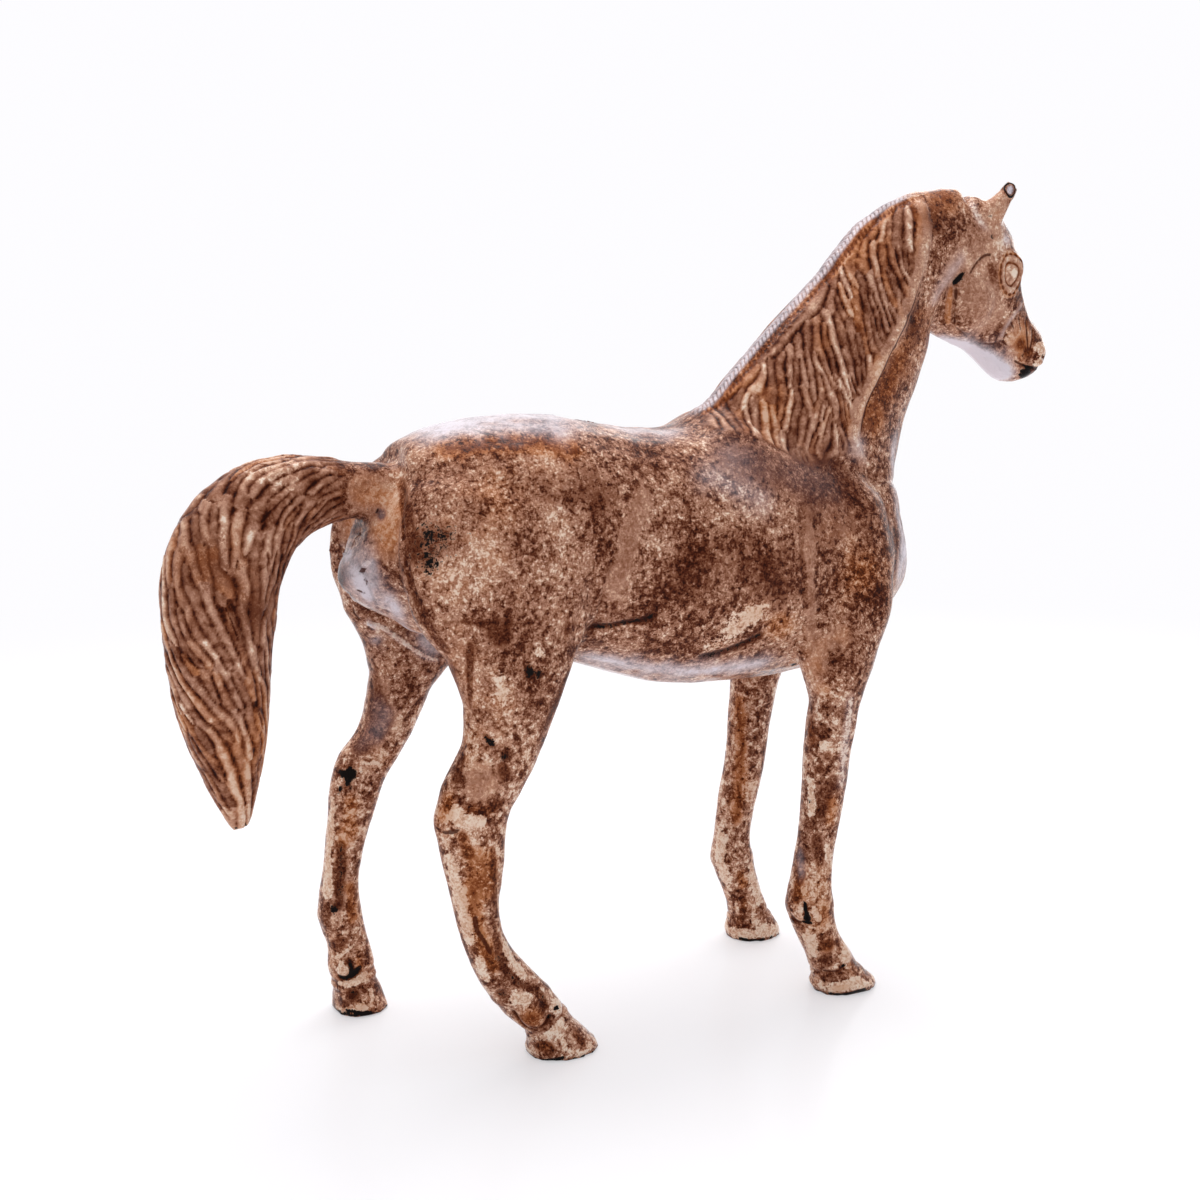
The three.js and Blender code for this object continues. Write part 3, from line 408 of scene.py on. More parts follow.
HEAD_SPOTS = [
    Spot((159.0, -8.1, 237.3), 3.0, 0, dark=0.8, warm=0.5),
    Spot((163.5, -7.9, 233.4), 2.6, 0, dark=0.9, warm=0.4),
    Spot((161.1, -8.1, 246.2), 3.5, 0, dark=0.6, warm=0.5),
    Spot((159.1, -6.8, 229.6), 2.2, 0, warm=0.8, pale=0.5),
    Spot((133.0, -13.0, 254.0), 12, bare=0.7, pale=0.2),
    Spot((126.0, -12.0, 270.0), 12, bare=0.5),
    Spot((141.0, -11.0, 248.0), 8, bare=0.6),
    Spot((140.0, -11.0, 278.0), 9, bare=0.6),
    Spot((143.0, -11.5, 290.0), 7, bare=0.6),
    Spot((139.5, -12.5, 262.0), 6, dark=0.25),
    Spot((158.5, -8.6, 238.5), 8, bare=0.9, warm=0.75, pale=0.3),
    Spot((139.6, -12.0, 277.2), 2.6, 0.7, bare=0.5),
    Spot((139.6, -12.0, 277.2), 1.1, -1.2, black=0.9),
    Spot((170.5, -7.2, 234.5), 2.8, 1.0, pale=1.3),
    Spot((168.5, -7.4, 229.0), 2.2, 0.6, pale=1.1),
    Spot((171.4, -7.0, 232.2), 1.0, -1.4, black=1.0),
    Spot((163.8, -6.0, 225.6), 3.0, 0.4, black=1.4),
    Spot((96.6, -15.4, 247.6), 1.1, -0.8, black=1.1),
    Spot((150.9, -6.0, 232.0), 1.4, -0.3, dark=0.8),
    Spot((87.0, -17.2, 222.0), 8, warm=0.85, dark=0.45),
    Spot((80.3, -18.9, 210.0), 8, warm=0.85, dark=0.45),
    Spot((95.0, -15.0, 232.0), 9, warm=0.6, dark=0.4),
    Spot((104.0, -12.0, 245.0), 8, warm=0.6, dark=0.5),
    Spot((110.0, -12.0, 283.0), 8, dark=0.5, warm=0.5),
    Spot((120.0, -5.0, 290.0), 8, warm=0.8, dark=0.4),
    Spot((36.0, -14.0, 221.0), 9, warm=0.8),
    Spot((60.0, -17.0, 240.0), 7, dark=0.4, warm=0.5),
    Spot((72.5, -20.4, 200.0), 4, haze=0.5),
]

# Rings, knobs and grooves of the feet by leg: the leg's x at the foot, then its rings
LEG_RINGS = {
    "hindleg_right": (-62.0, [
        Ring(0.5, 0.0, 0.8, 0.0, black=0.75),
        Ring(2.3, 0.0, 0.7, 0.3, pale=0.5),
        Ring(9.6, 0.6, 1.2, 0.3),
        Ring(12.2, 0.6, 0.8, -0.4, dark=0.4),
        Ring(23.4, 0.1, 1.6, 0.3),
    ]),
    "hindleg_left": (-107.0, [
        Ring(0.6, 0.0, 0.9, 0.0, black=0.75),
        Ring(11.4, 0.25, 1.0, 0.4, pale=0.4),
        Ring(14.0, 0.3, 0.8, -0.3, dark=0.5),
    ]),
    "foreleg_right": (56.0, [
        Ring(0.5, 0.0, 0.8, 0.0, black=0.7),
        Ring(2.4, 0.0, 1.2, 0.6, pale=0.5),
        Ring(5.6, 0.0, 0.7, -0.3, dark=0.3),
        Ring(8.8, 0.05, 0.7, -0.4, dark=0.4),
        Ring(34.0, 0.0, 3.5, 0.5),
    ]),
    "foreleg_left": (56.0, [
        Ring(0.5, 0.0, 0.8, 0.0, black=0.6),
        Ring(3.0, 0.0, 2.0, 0.4, pale=0.6),
        Ring(6.4, 0.1, 0.7, -0.3, dark=0.3),
        Ring(9.6, 0.1, 0.7, -0.3, dark=0.4),
        Ring(34.0, 0.0, 3.5, 0.5),
    ]),
}  # fmt: skip

# Strips, veins, creases and knobs that only one side has, most of them on single legs, and painted reflection on
# the chest's edge and along the top of the back
ONE_SIDE_STROKES = [
    Stroke([(94.0, -13.5, 189.0), (91.0, -18.5, 184.0), (90.5, -21.0, 179.5), (91.5, -22.0, 175.0),
            (92.5, -22.0, 170.5), (94.0, -21.0, 166.0), (96.0, -20.0, 161.0), (97.5, -18.5, 154.0),
            (96.0, -18.0, 147.0)], 2.6, 0, haze=0.95),
    Stroke([(-42.0, -26.0, 142.5), (-38.9, -28.4, 144.1), (-33.0, -30.0, 143.6), (-28.7, -30.3, 144.9),
            (-22.0, -32.0, 145.4), (-17.0, -33.4, 147.4)], 1.5, -0.7, black=0.75, dark=1.0),
    Stroke([(-14.0, -33.0, 149.0), (-8.0, -34.0, 152.0)], 1.0, -0.2, dark=0.7),
    Stroke([(93.4, -21.5, 166.2), (93.6, -22.2, 159.9), (93.0, -22.1, 152.7), (90.9, -22.1, 147.2)], 3.4, 0,
           haze=1.1),
    Stroke([(83.2, -23.6, 178.8), (82.2, -28.2, 170.8), (83.0, -29.9, 162.1), (88.4, -25.1, 153.1)], 1.3,
           -0.2, dark=0.8, warm=0.5),
    Stroke([(-52.0, 3.0, 213.5), (-38.0, 3.0, 212.0), (-28.0, 3.0, 210.0), (-14.0, 3.0, 207.5)], 6.0, 0,
           haze=1.0),
    Stroke([(-68.1, -40.6, 137.2), (-69.3, -40.8, 134.0), (-67.2, -41.0, 130.3)], 2.1, 0, black=1.15,
           dark=0.6),
    Stroke([(-65.6, -40.6, 134.6), (-64.9, -40.6, 130.6)], 1.2, 0, black=1.0, dark=0.5),
    Stroke([(-51.8, -35.9, 132.5), (-55.7, -37.1, 125.8), (-59.5, -38.2, 119.4), (-62.2, -38.5, 112.7)], 1.5,
           0, dark=1.4, black=0.45),
    Stroke([(-63.4, -39.8, 143.5), (-65.5, -40.4, 138.8), (-61.5, -39.6, 140.6)], 2.2, 0, pale=0.8),
    Stroke([(-78.8, -40.4, 138.4), (-78.1, -40.9, 128.7), (-77.3, -41.3, 120.2)], 3.0, 0, pale=0.6),
    Stroke([(-84.9, -39.1, 115.6), (-82.5, -40.3, 112.4), (-81.0, -40.6, 109.4)], 1.2, 0.0, black=0.8,
           dark=0.6),
    Stroke([(58.9, -39.4, 114.0), (57.6, -39.0, 96.6), (56.6, -38.0, 78.0)], 1.8, 0.0, pale=0.6, haze=0.3),
    Stroke([(47.0, -30.9, 106.2), (46.5, -33.5, 92.9)], 2.4, 0.0, dark=0.8, warm=0.4),
    Stroke([(-94.5, -37.0, 97.0), (-96.3, -36.4, 92.2), (-96.9, -36.6, 85.7)], 2.0, 0, warm=1.2, dark=0.3),
    Stroke([(-90.0, -35.0, 109.1), (-92.3, -36.2, 103.1), (-93.5, -37.2, 98.6)], 1.6, 0, dark=1.2),
    Stroke([(-91.4, -39.5, 93.0), (-89.0, -40.2, 90.2), (-85.6, -40.4, 89.5), (-81.0, -40.3, 90.2),
            (-77.3, -39.9, 92.2)], 1.6, -0.3, dark=0.9, warm=0.4),
    Stroke([(-79.5, -41.2, 106.0), (-77.7, -41.1, 101.8), (-76.6, -40.7, 97.3)], 1.8, -0.2, dark=0.9),
    Stroke([(-93.4, -38.5, 94.0), (-94.2, -38.6, 89.2), (-92.2, -39.4, 86.8), (-88.1, -40.3, 86.5),
            (-82.8, -40.3, 86.4)], 2.2, 0.2, pale=1.4),
    Stroke([(-97.3, -35.8, 83.2), (-95.1, -38.0, 83.5), (-92.8, -39.2, 84.2)], 0.7, -0.4, line=1.4),
    Stroke([(-92.8, -39.2, 84.2), (-90.9, -39.5, 79.0), (-89.6, -39.5, 73.8)], 1.5, 0, dark=1.0, warm=0.3),
    Stroke([(-85.6, -40.0, 80.1), (-86.2, -39.7, 73.4), (-84.4, -39.3, 64.6), (-83.3, -38.9, 55.9)], 4.2, 0,
           warm=1.0, dark=0.5, pale=0.3),
    Stroke([(-96.6, -36.5, 79.0), (-94.7, -36.7, 70.5), (-92.1, -36.8, 60.0), (-90.2, -36.8, 51.3),
            (-88.1, -36.5, 42.3)], 2.5, 0.2, pale=1.0),
    Stroke([(-89.5, -39.1, 68.7), (-88.8, -38.8, 61.8), (-87.4, -38.7, 54.8), (-85.5, -38.8, 47.7),
            (-82.8, -39.0, 40.5)], 2.2, 0, warm=1.3, dark=0.35),
    Stroke([(-81.5, -39.4, 77.6), (-81.4, -39.0, 69.1), (-80.9, -38.5, 62.1), (-80.0, -37.9, 55.0)], 1.2, 0,
           dark=1.0),
    Stroke([(-87.7, -38.6, 54.8), (-87.3, -38.3, 49.6), (-84.8, -38.9, 45.9), (-82.1, -39.0, 40.4)], 0.8,
           -0.2, line=1.3),
    Stroke([(-81.1, -38.6, 47.9), (-79.8, -38.7, 43.3), (-78.2, -39.2, 38.7)], 1.2, 0, dark=1.4),
    Stroke([(-77.5, -37.6, 44.2), (-74.7, -38.5, 37.2), (-72.1, -39.0, 32.7), (-69.2, -39.1, 29.5)], 1.7, 0.3,
           pale=1.3),
    Stroke([(-80.6, -39.0, 41.8), (-79.3, -39.2, 37.6), (-76.6, -39.5, 33.7), (-74.2, -39.8, 30.6),
            (-71.1, -40.0, 28.0), (-67.3, -39.6, 25.8), (-65.1, -39.7, 23.3), (-64.2, -40.1, 20.5),
            (-65.0, -40.1, 17.9)], 1.2, -0.3, dark=1.6, black=0.4),
    Stroke([(-85.4, -38.5, 44.2), (-82.8, -39.0, 38.8), (-80.7, -39.1, 33.3)], 1.8, 0, warm=1.1, dark=0.7),
    Stroke([(-86.4, -37.6, 40.7), (-84.2, -37.1, 33.2), (-82.2, -37.4, 29.5)], 1.5, 0, pale=1.1),
    Stroke([(-76.8, -38.9, 23.8), (-72.6, -40.1, 24.5), (-67.2, -40.2, 22.9)], 1.8, 0.8, pale=1.4),
    Stroke([(-74.7, -38.2, 19.7), (-71.5, -37.5, 15.3), (-67.5, -36.8, 10.8), (-63.5, -40.0, 12.9),
            (-60.9, -40.1, 16.0)], 0.8, -1.1, line=0.7, dark=0.8),
    Stroke([(-65.8, -31.4, 6.2), (-63.2, -39.4, 8.8), (-58.9, -40.4, 11.1), (-56.1, -39.3, 13.7)], 1.4, 0.6,
           pale=1.4),
    Stroke([(-65.8, -35.3, 4.8), (-62.7, -40.5, 5.5), (-60.3, -41.8, 4.2)], 1.7, 0, dark=1.0, warm=0.6),
    Stroke([(-58.4, -41.7, 8.0), (-56.9, -42.5, 5.2), (-58.5, -42.6, 2.7)], 1.0, 0.2, pale=1.3),
    Stroke([(-53.8, -40.7, 9.5), (-51.3, -41.6, 5.8), (-49.3, -42.2, 2.8)], 1.5, 0, dark=1.1, warm=0.4),
    Stroke([(-63.5, -39.9, 0.2), (-59.8, -42.2, 1.1), (-57.3, -43.1, 1.9)], 0.7, -0.2, black=1.2),
    Stroke([(-110.6, 31.2, 89.6), (-107.8, 27.7, 88.3), (-103.6, 26.0, 88.9)], 1.4, 0, black=1.1),
    Stroke([(-106.0, 27.4, 92.6), (-107.0, 27.0, 88.0), (-107.9, 27.1, 83.8)], 1.3, 0, black=1.1),
    Stroke([(-108.9, 27.9, 85.1), (-110.2, 28.6, 81.5)], 1.0, 0, black=1.0),
    Stroke([(-106.5, 26.5, 85.1), (-106.9, 26.5, 82.3)], 0.9, 0, black=0.9),
    Stroke([(-95.0, 26.6, 117.6), (-96.5, 27.0, 109.8), (-101.0, 27.3, 100.8), (-105.4, 27.8, 94.8)], 3.0, 0,
           dark=1.4, haze=0.1),
    Stroke([(-92.8, 24.8, 114.1), (-94.3, 25.3, 105.2), (-98.9, 25.4, 96.7)], 3.0, 0, dark=0.7, haze=0.2),
    Stroke([(-111.5, 30.4, 80.8), (-113.0, 31.1, 68.1), (-114.4, 31.2, 57.3), (-115.2, 29.6, 48.7),
            (-115.0, 28.3, 42.9)], 2.0, 0.2, pale=1.2),
    Stroke([(-106.2, 26.3, 83.0), (-107.2, 26.4, 72.2), (-108.8, 26.8, 61.4)], 2.4, 0, warm=1.0, pale=0.3),
    Stroke([(-110.6, 27.6, 65.1), (-110.4, 27.1, 54.2), (-112.0, 27.1, 47.2), (-111.5, 26.6, 43.6),
            (-113.7, 27.1, 39.3)], 1.5, -0.2, dark=1.2, black=0.5),
    Stroke([(-107.6, 26.9, 50.2), (-107.1, 26.7, 41.0), (-106.7, 26.3, 33.6)], 1.7, 0, warm=1.2, dark=0.3),
    Stroke([(-113.0, 29.3, 21.4), (-110.1, 26.8, 24.0), (-107.2, 26.3, 26.3)], 0.6, 0.5, pale=1.2),
    Stroke([(-114.3, 30.8, 26.0), (-111.7, 27.2, 27.9), (-108.3, 26.3, 28.3)], 1.8, 0, dark=0.9),
    Stroke([(-112.5, 29.2, 15.1), (-110.3, 26.9, 13.9), (-107.0, 25.7, 15.6), (-104.3, 25.8, 18.5)], 1.0,
           -0.6, black=1.1, dark=1.0),
    Stroke([(-109.1, 26.5, 22.5), (-107.9, 25.9, 18.3), (-108.7, 26.3, 15.0)], 1.4, -0.3, black=1.0),
    Stroke([(-111.4, 27.5, 21.0), (-111.2, 27.4, 18.8)], 0.9, 0.5, pale=1.2),
    Stroke([(-106.0, 26.0, 21.3), (-104.7, 25.8, 17.8), (-107.3, 25.7, 16.4)], 1.0, 0.3, warm=1.2),
    Stroke([(-112.5, 29.5, 12.0), (-108.7, 26.3, 12.0), (-105.2, 25.7, 13.8), (-101.9, 26.2, 15.3)], 0.9, 0.6,
           pale=1.3),
    Stroke([(-111.3, 27.8, 6.0), (-110.7, 26.5, 3.3)], 1.5, 0, dark=1.1),
    Stroke([(-110.8, 26.4, 2.6), (-106.3, 23.2, 1.8), (-101.9, 22.8, 1.5)], 0.7, 0, black=1.2),
    Stroke([(-101.8, 25.9, 10.5), (-100.5, 23.6, 4.3)], 1.3, 0, pale=1.0),
    Stroke([(48.2, -35.9, 97.7), (49.1, -37.2, 94.2), (52.1, -38.5, 95.6)], 1.6, 0, pale=1.3),
    Stroke([(48.6, -36.9, 90.5), (52.5, -38.6, 91.5)], 1.6, 0, dark=1.2),
    Stroke([(46.2, -34.3, 83.9), (45.9, -33.7, 78.2), (46.2, -34.7, 72.9), (46.1, -35.1, 67.4)], 1.6, 0,
           pale=1.1),
    Stroke([(54.7, -38.3, 83.8), (50.8, -37.8, 80.5), (48.9, -37.0, 75.0), (48.3, -36.8, 67.5)], 1.8, 0,
           dark=1.3),
    Stroke([(52.4, -38.1, 78.5), (52.8, -37.8, 70.9), (51.5, -37.5, 63.5)], 2.4, 0, warm=1.0, dark=0.3),
    Stroke([(46.7, -36.1, 63.8), (47.7, -36.9, 56.4), (49.3, -37.4, 48.8)], 2.2, 0, dark=1.0),
    Stroke([(43.5, -31.6, 57.4), (42.6, -33.0, 51.5), (42.4, -34.8, 45.3)], 1.6, 0, dark=1.4, haze=0.3),
    Stroke([(51.7, -37.3, 59.7), (52.1, -37.1, 50.2)], 1.6, 0, pale=1.1),
    Stroke([(42.2, -33.6, 48.8), (40.8, -34.1, 41.6), (40.2, -33.9, 35.9)], 1.6, 0, dark=0.9, warm=0.6),
    Stroke([(42.5, -35.4, 43.6), (42.7, -36.5, 38.6)], 1.3, 0, pale=0.9, warm=0.7),
    Stroke([(42.7, -36.6, 37.5), (43.1, -36.8, 33.7), (44.1, -36.7, 29.8)], 0.8, -1.0, black=1.7),
    Stroke([(42.3, -34.9, 29.5), (45.9, -37.2, 28.9)], 0.8, -0.8, black=1.4),
    Stroke([(45.1, -37.6, 36.3), (46.7, -37.9, 32.4), (48.5, -37.9, 29.4)], 1.1, 0.6, pale=1.6),
    Stroke([(41.6, -35.6, 36.3), (42.0, -35.2, 31.5)], 0.8, 0.4, pale=1.2),
    Stroke([(40.4, -31.1, 31.2), (41.3, -32.4, 29.2), (42.6, -35.1, 29.1)], 0.8, -0.7, line=1.4),
    Stroke([(49.2, -37.9, 37.6), (50.2, -38.0, 31.8), (49.5, -37.8, 26.9)], 2.0, 0, warm=0.8, dark=0.6),
    Stroke([(43.9, -35.1, 26.2), (46.7, -34.6, 19.9), (49.4, -34.0, 13.4)], 2.2, 0.2, pale=1.3),
    Stroke([(51.7, -35.4, 9.6), (54.4, -37.8, 9.2), (57.2, -38.9, 9.8)], 0.6, -0.4, line=1.0),
    Stroke([(51.9, -32.7, 4.4), (56.9, -39.5, 4.7), (64.3, -40.5, 5.2), (69.2, -40.1, 2.6)], 1.5, 0.4,
           pale=1.1),
    Stroke([(54.5, -37.9, 3.0), (59.7, -40.6, 3.8)], 0.9, 0, warm=1.2, line=0.3),
    Stroke([(55.4, -38.6, 0.4), (60.4, -41.0, 1.1), (67.6, -41.0, 1.7)], 0.6, 0, black=1.2),
    Stroke([(53.8, 28.1, 102.5), (54.4, 25.7, 86.9), (53.5, 25.3, 66.8), (51.6, 24.8, 46.8)], 2.6, 0,
           warm=0.9, dark=0.45),
    Stroke([(47.2, 28.2, 46.5), (46.2, 27.7, 36.5), (47.1, 27.6, 30.2), (49.6, 28.5, 23.3)], 1.9, 0,
           pale=1.2),
    Stroke([(53.2, 24.0, 31.1), (55.9, 24.3, 21.5)], 1.7, 0, warm=1.1, dark=0.4),
    Stroke([(53.5, 25.6, 19.4), (56.8, 24.8, 15.8), (55.5, 25.7, 10.7), (54.2, 26.3, 6.5), (56.0, 24.0, 4.1)],
           1.4, -0.2, dark=1.4, warm=0.3),
    Stroke([(58.4, 24.8, 33.4), (61.0, 24.8, 22.6), (63.1, 24.2, 14.1)], 1.7, 0, pale=1.2),
    Stroke([(58.8, 23.4, 9.6), (60.9, 22.1, 6.4)], 1.2, 0.4, pale=1.0),
    Stroke([(54.1, 26.1, 1.6), (58.3, 22.3, 0.5), (62.8, 21.1, 0.5)], 0.6, 0, black=1.0),
]
ONE_SIDE_SPOTS = [
    Spot((-93.5, -31.0, 112.0), 8, -1.7),
    Spot((-98.0, -33.5, 86.5), 5, 1.2),
    Spot((-103.0, 31.8, 102.5), 8, -2.3),
    Spot((-114.0, 32.0, 17.5), 4, 1.0),
    Spot((-101.0, 27.5, 76.0), 7, 0.7),
    Spot((-112.4, 30.0, 5.0), 5, -0.8),
    Spot((-97.5, 25.0, 5.0), 5, -0.8),
    Spot((45.5, -29.0, 112.0), 8, -1.2),
    Spot((49.0, 30.5, 60.0), 10, 0.7),
    Spot((-85.6, -40.6, 99.1), 7.0, 0.3, bare=0.8, dark=0.3),
    Spot((-77.8, -41.2, 107.2), 1.8, 0, black=1.0),
    Spot((-76.2, -38.7, 38.2), 1.2, 0, dark=1.3),
    Spot((-78.5, -38.7, 25.8), 2.0, -1.2, dark=1.3, black=0.6),
    Spot((-81.3, -38.7, 31.9), 1.0, 0, dark=1.1),
    Spot((-68.4, -39.5, 16.2), 4.2, 1.3, warm=1.0, dark=0.6),
    Spot((-58.9, -38.9, 18.3), 2.6, 1.7, pale=1.4),
    Spot((-59.8, -39.3, 17.9), 0.9, -0.9, black=1.3),
    Spot((-61.7, -40.1, 15.4), 1.1, -0.7, black=1.2),
    Spot((-56.1, -39.3, 13.7), 1.0, -0.3, dark=1.1),
    Spot((-47.3, -41.2, 3.4), 1.5, 0, pale=0.8),
    Spot((-114.0, 27.3, 40.1), 1.5, 0, black=1.0),
    Spot((-116.1, 29.1, 34.7), 1.8, 0.5, dark=1.0),
    Spot((-110.9, 27.2, 17.3), 1.8, 1.6, pale=1.7),
    Spot((-108.0, 25.3, 8.1), 2.2, 0, black=0.7, dark=1.0),
    Spot((-105.5, 23.2, 3.9), 2.2, 0, pale=1.0, warm=0.4),
    Spot((48.3, -36.7, 86.4), 1.7, 0, dark=1.2),
    Spot((45.9, -34.4, 73.6), 1.5, 0, black=0.7),
    Spot((43.6, -36.7, 31.0), 1.4, -0.5, black=1.5),
    Spot((52.5, -37.6, 19.8), 2.8, 0, warm=0.8, dark=0.8),
    Spot((51.5, -36.8, 14.0), 1.8, 0, dark=1.2),
    Spot((60.0, -37.9, 14.8), 3.0, 1.6, pale=1.3),
    Spot((58.6, -38.8, 11.1), 0.9, -0.9, black=1.3),
    Spot((62.2, -38.1, 11.8), 1.3, 0, warm=0.9, dark=0.5),
    Spot((58.7, 23.1, 8.5), 1.2, -0.4, dark=1.1),
    Spot((55.2, 24.9, 2.7), 1.6, 0, pale=1.0),
    Spot((63.5, 21.7, 4.4), 2.2, 0.4, pale=1.1),
]

# Marks of the tail, on both sides: stained specks and the pale blunt tip
TAIL_SPOTS = [
    Spot((-153.7, -2.0, 85.0), 5.0, pale=1.2),
    Spot((-155.8, -2.5, 90.0), 4.0, pale=0.6),
    Spot((-152.2, -2.5, 83.8), 1.3, black=0.9),
    Spot((-155.4, -2.4, 83.6), 1.0, black=0.8),
    Spot((-147.8, -9.0, 135.0), 1.8, black=0.7),
    Spot((-155.6, -9.5, 108.0), 1.8, black=0.7),
    Spot((-150.0, -12.0, 155.0), 11, dark=0.5),
    Spot((-163.0, -12.0, 172.0), 12, dark=0.5),
    Spot((-150.0, -9.0, 112.0), 9, warm=0.5),
    Spot((-140.0, -6.0, 199.0), 11, pale=0.45),
]

# Pins whose ends are filled over
PIN_NODES = ["neck_pin_right", "neck_pin_left", "foreleg_pin_right", "foreleg_pin_left",
             "hindleg_pin_right", "hindleg_pin_left"]  # fmt: skip
PIN_FILL = (2.6, 0.45)  # radius and height of the filler over a pin
# Legs that are darker or paler all over than the others
LEG_TONES = {"hindleg_left": ("dark", 0.12), "foreleg_left": ("pale", 0.22)}
MARBLE_TOP, MARBLE_FULL = 140, 100  # heights at which the coarser patina of the legs begins and is full
STROKE_STEP = 0.4  # distance between the points of a stroke
STRAND_STEP = 0.7  # distance between the points of a strand
TAIL_ROLL = 13.0  # radius at which the tail is unrolled to comb it
TAIL_BARE = 20  # the dock has no strands up to this run along the tail

# Lamps of the studio: place, size and power
LAMPS = {
    "key": ((-0.7, -1.1, 1.3), 1.2, 5.0),
    "top": ((0.0, 0.35, 1.3), 0.9, 9.0),
    "rim": ((1.1, 0.7, 0.7), 1.0, 5.0),
}
LAMP_AIM = Vector((0, 0, 0.15))
FLOOR_RADIUS = 6
FLOOR_DROP = 0.00005  # the floor is this far under the hooves
BACKDROP = (0.985, 0.978, 1.0)
BRIGHT_SIDE = (0.25, 0.6, 0.75)  # where the surround is brightest

# What a point of a casting can carry for the patina, and for the painted reflection of the white surround on
# glancing surfaces
MARKS = ("pale", "dark", "line", "bare", "black", "warm", "haze", "hair", "ridge", "marble")


def linear(hex_colour):
    """A colour written as a screen value, as the linear numbers that a shader takes."""
    channels = [(hex_colour >> shift & 255) / 255 for shift in (16, 8, 0)]
    return tuple(c / 12.92 if c <= 0.04045 else ((c + 0.055) / 1.055) ** 2.4 for c in channels)


def colour_property(name, description, hex_colour):
    """A colour that a user can change."""
    return FloatVectorProperty(
        name=name, description=description, subtype="COLOR", size=3, min=0, max=1, default=linear(hex_colour)
    )


def length_property(name, description, millimetres):
    """A length that a user can change."""
    return FloatProperty(
        name=name, description=description, default=millimetres * MM, min=0, unit="LENGTH", precision=5
    )


def share_property(name, description, share):
    """A share from 0 to 1 that a user can change."""
    return FloatProperty(name=name, description=description, default=share, min=0, max=1, subtype="FACTOR")


def angle_property(name, description, degrees):
    """An angle that a user can change."""
    return FloatProperty(
        name=name, description=description, default=math.radians(degrees), subtype="ANGLE", unit="ROTATION"
    )


class HorseForm(PropertyGroup):
    """Sizes of what is modelled on the castings."""

    blend: length_property("Blend", "Voxel size at which the castings are blended", 1.4)
    mane_gap: length_property("Mane spacing", "Distance between the strands of the mane", 2.5)
    tail_gap: length_property("Tail spacing", "Distance between the strands of the tail", 2.7)
    strand_height: length_property("Strand height", "Height of a strand above the grooves", 0.85)
    crest_pitch: length_property("Crest pitch", "Distance between the notches along the crest", 2.1)
    crest_depth: length_property("Crest depth", "Depth of the notches along the crest", 0.4)


class HorsePatina(PropertyGroup):
    """Colours and gloss of the finish."""

    black: colour_property("Black", "Smoked specks of the patina", 0x140F0E)
    soot: colour_property("Soot", "Bottom of the grooves", 0x2C0D05)
    umber: colour_property("Umber", "Deepest ground of the patina", 0x491C0C)
    brown: colour_property("Brown", "Dark ground of the patina", 0x6B3923)
    tan: colour_property("Tan", "Middle ground of the patina", 0x98664E)
    sand: colour_property("Sand", "Rubbed ground of the patina", 0xC19179)
    cream: colour_property("Cream", "Rubbed high places of the patina", 0xE0B89C)
    blush: colour_property("Blush", "Palest places of the patina", 0xF4DFCC)
    rust: colour_property("Rust", "Dark warm places of the patina", 0x7E3E1B)
    amber: colour_property("Amber", "Light warm places of the patina", 0xC07E54)
    # Painted reflection: the pale lavender that the lacquer shows of the white surround on glancing surfaces,
    # painted into the colour; the sheen takes the same tint
    haze: colour_property("Haze", "Bloom of the lacquer", 0xE2D9E0)
    pin: colour_property("Pin", "Bare metal of the pins", 0x9A9A9C)
    lacquer: share_property("Lacquer", "Weight of the clear lacquer", 0.8)
    lacquer_roughness: share_property("Lacquer roughness", "Roughness of the clear lacquer", 0.2)


class HorseStudio(PropertyGroup):
    """Camera, floor and light."""

    eye: FloatVectorProperty(
        name="Camera",
        description="Place of the camera",
        subtype="TRANSLATION",
        unit="LENGTH",
        size=3,
        default=(-0.29061, -0.516, 0.240),
    )
    turn: angle_property("Turn", "Turn of the camera from +Y towards +X", 27.5)
    pitch: angle_property("Pitch", "Tilt of the camera below the horizon", 9)
    floor: colour_property("Floor", "Tone of the studio floor", 0xF7F6F8)
    surround: share_property("Surround", "Strength of the white surround", 0.85)


# Sculpting


def smoothstep(low, high, value):
    """0 below low, 1 above high and a smooth rise between."""
    share = np.clip((value - low) / (high - low), 0, 1)
    return share * share * (3 - 2 * share)


def lumps(points, size, seed):
    """Smooth noise from -1 to 1 whose lumps are about as wide as the size."""
    cells = 32
    lattice = np.random.default_rng(seed).uniform(-1, 1, (cells, cells, cells))
    place = points / size
    corner = np.floor(place).astype(int)
    share = place - corner
    share = share * share * (3 - 2 * share)
    total = np.zeros(len(points))
    for step in itertools.product((0, 1), repeat=3):
        weight = np.prod(np.where(step, share, 1 - share), axis=1)
        total += weight * lattice[tuple(((corner + step) % cells).T)]
    return total


def resample(path, step):
    """Points a small step apart along a path."""
    path = np.asarray(path, float)
    run = np.concatenate([[0], np.cumsum(np.linalg.norm(np.diff(path, axis=0), axis=1))])
    places = np.linspace(0, run[-1], max(2, int(run[-1] / step) + 1))
    return np.stack([np.interp(places, run, path[:, k]) for k in range(path.shape[1])], axis=1)


def tree_of(points):
    """A search tree over points."""
    tree = KDTree(len(points))
    for i, point in enumerate(points):
        tree.insert(point, i)
    tree.balance()
    return tree


def nearest(tree, points):
    """Index and distance of the nearest point of a tree to each of the points."""
    found = [tree.find(p) for p in points]
    return np.array([f[1] for f in found], int), np.array([f[2] for f in found])


def inside_outline(points, outline):
    """Whether flat points lie within an outline."""
    within = np.zeros(len(points), bool)
    for (ax, az), (bx, bz) in zip(outline, outline[1:] + outline[:1]):
        crosses = (az > points[:, 1]) != (bz > points[:, 1])
        reach = ax + (points[:, 1] - az) * (bx - ax) / ((bz - az) or 1e-9)
        within ^= crosses & (points[:, 0] < reach)
    return within


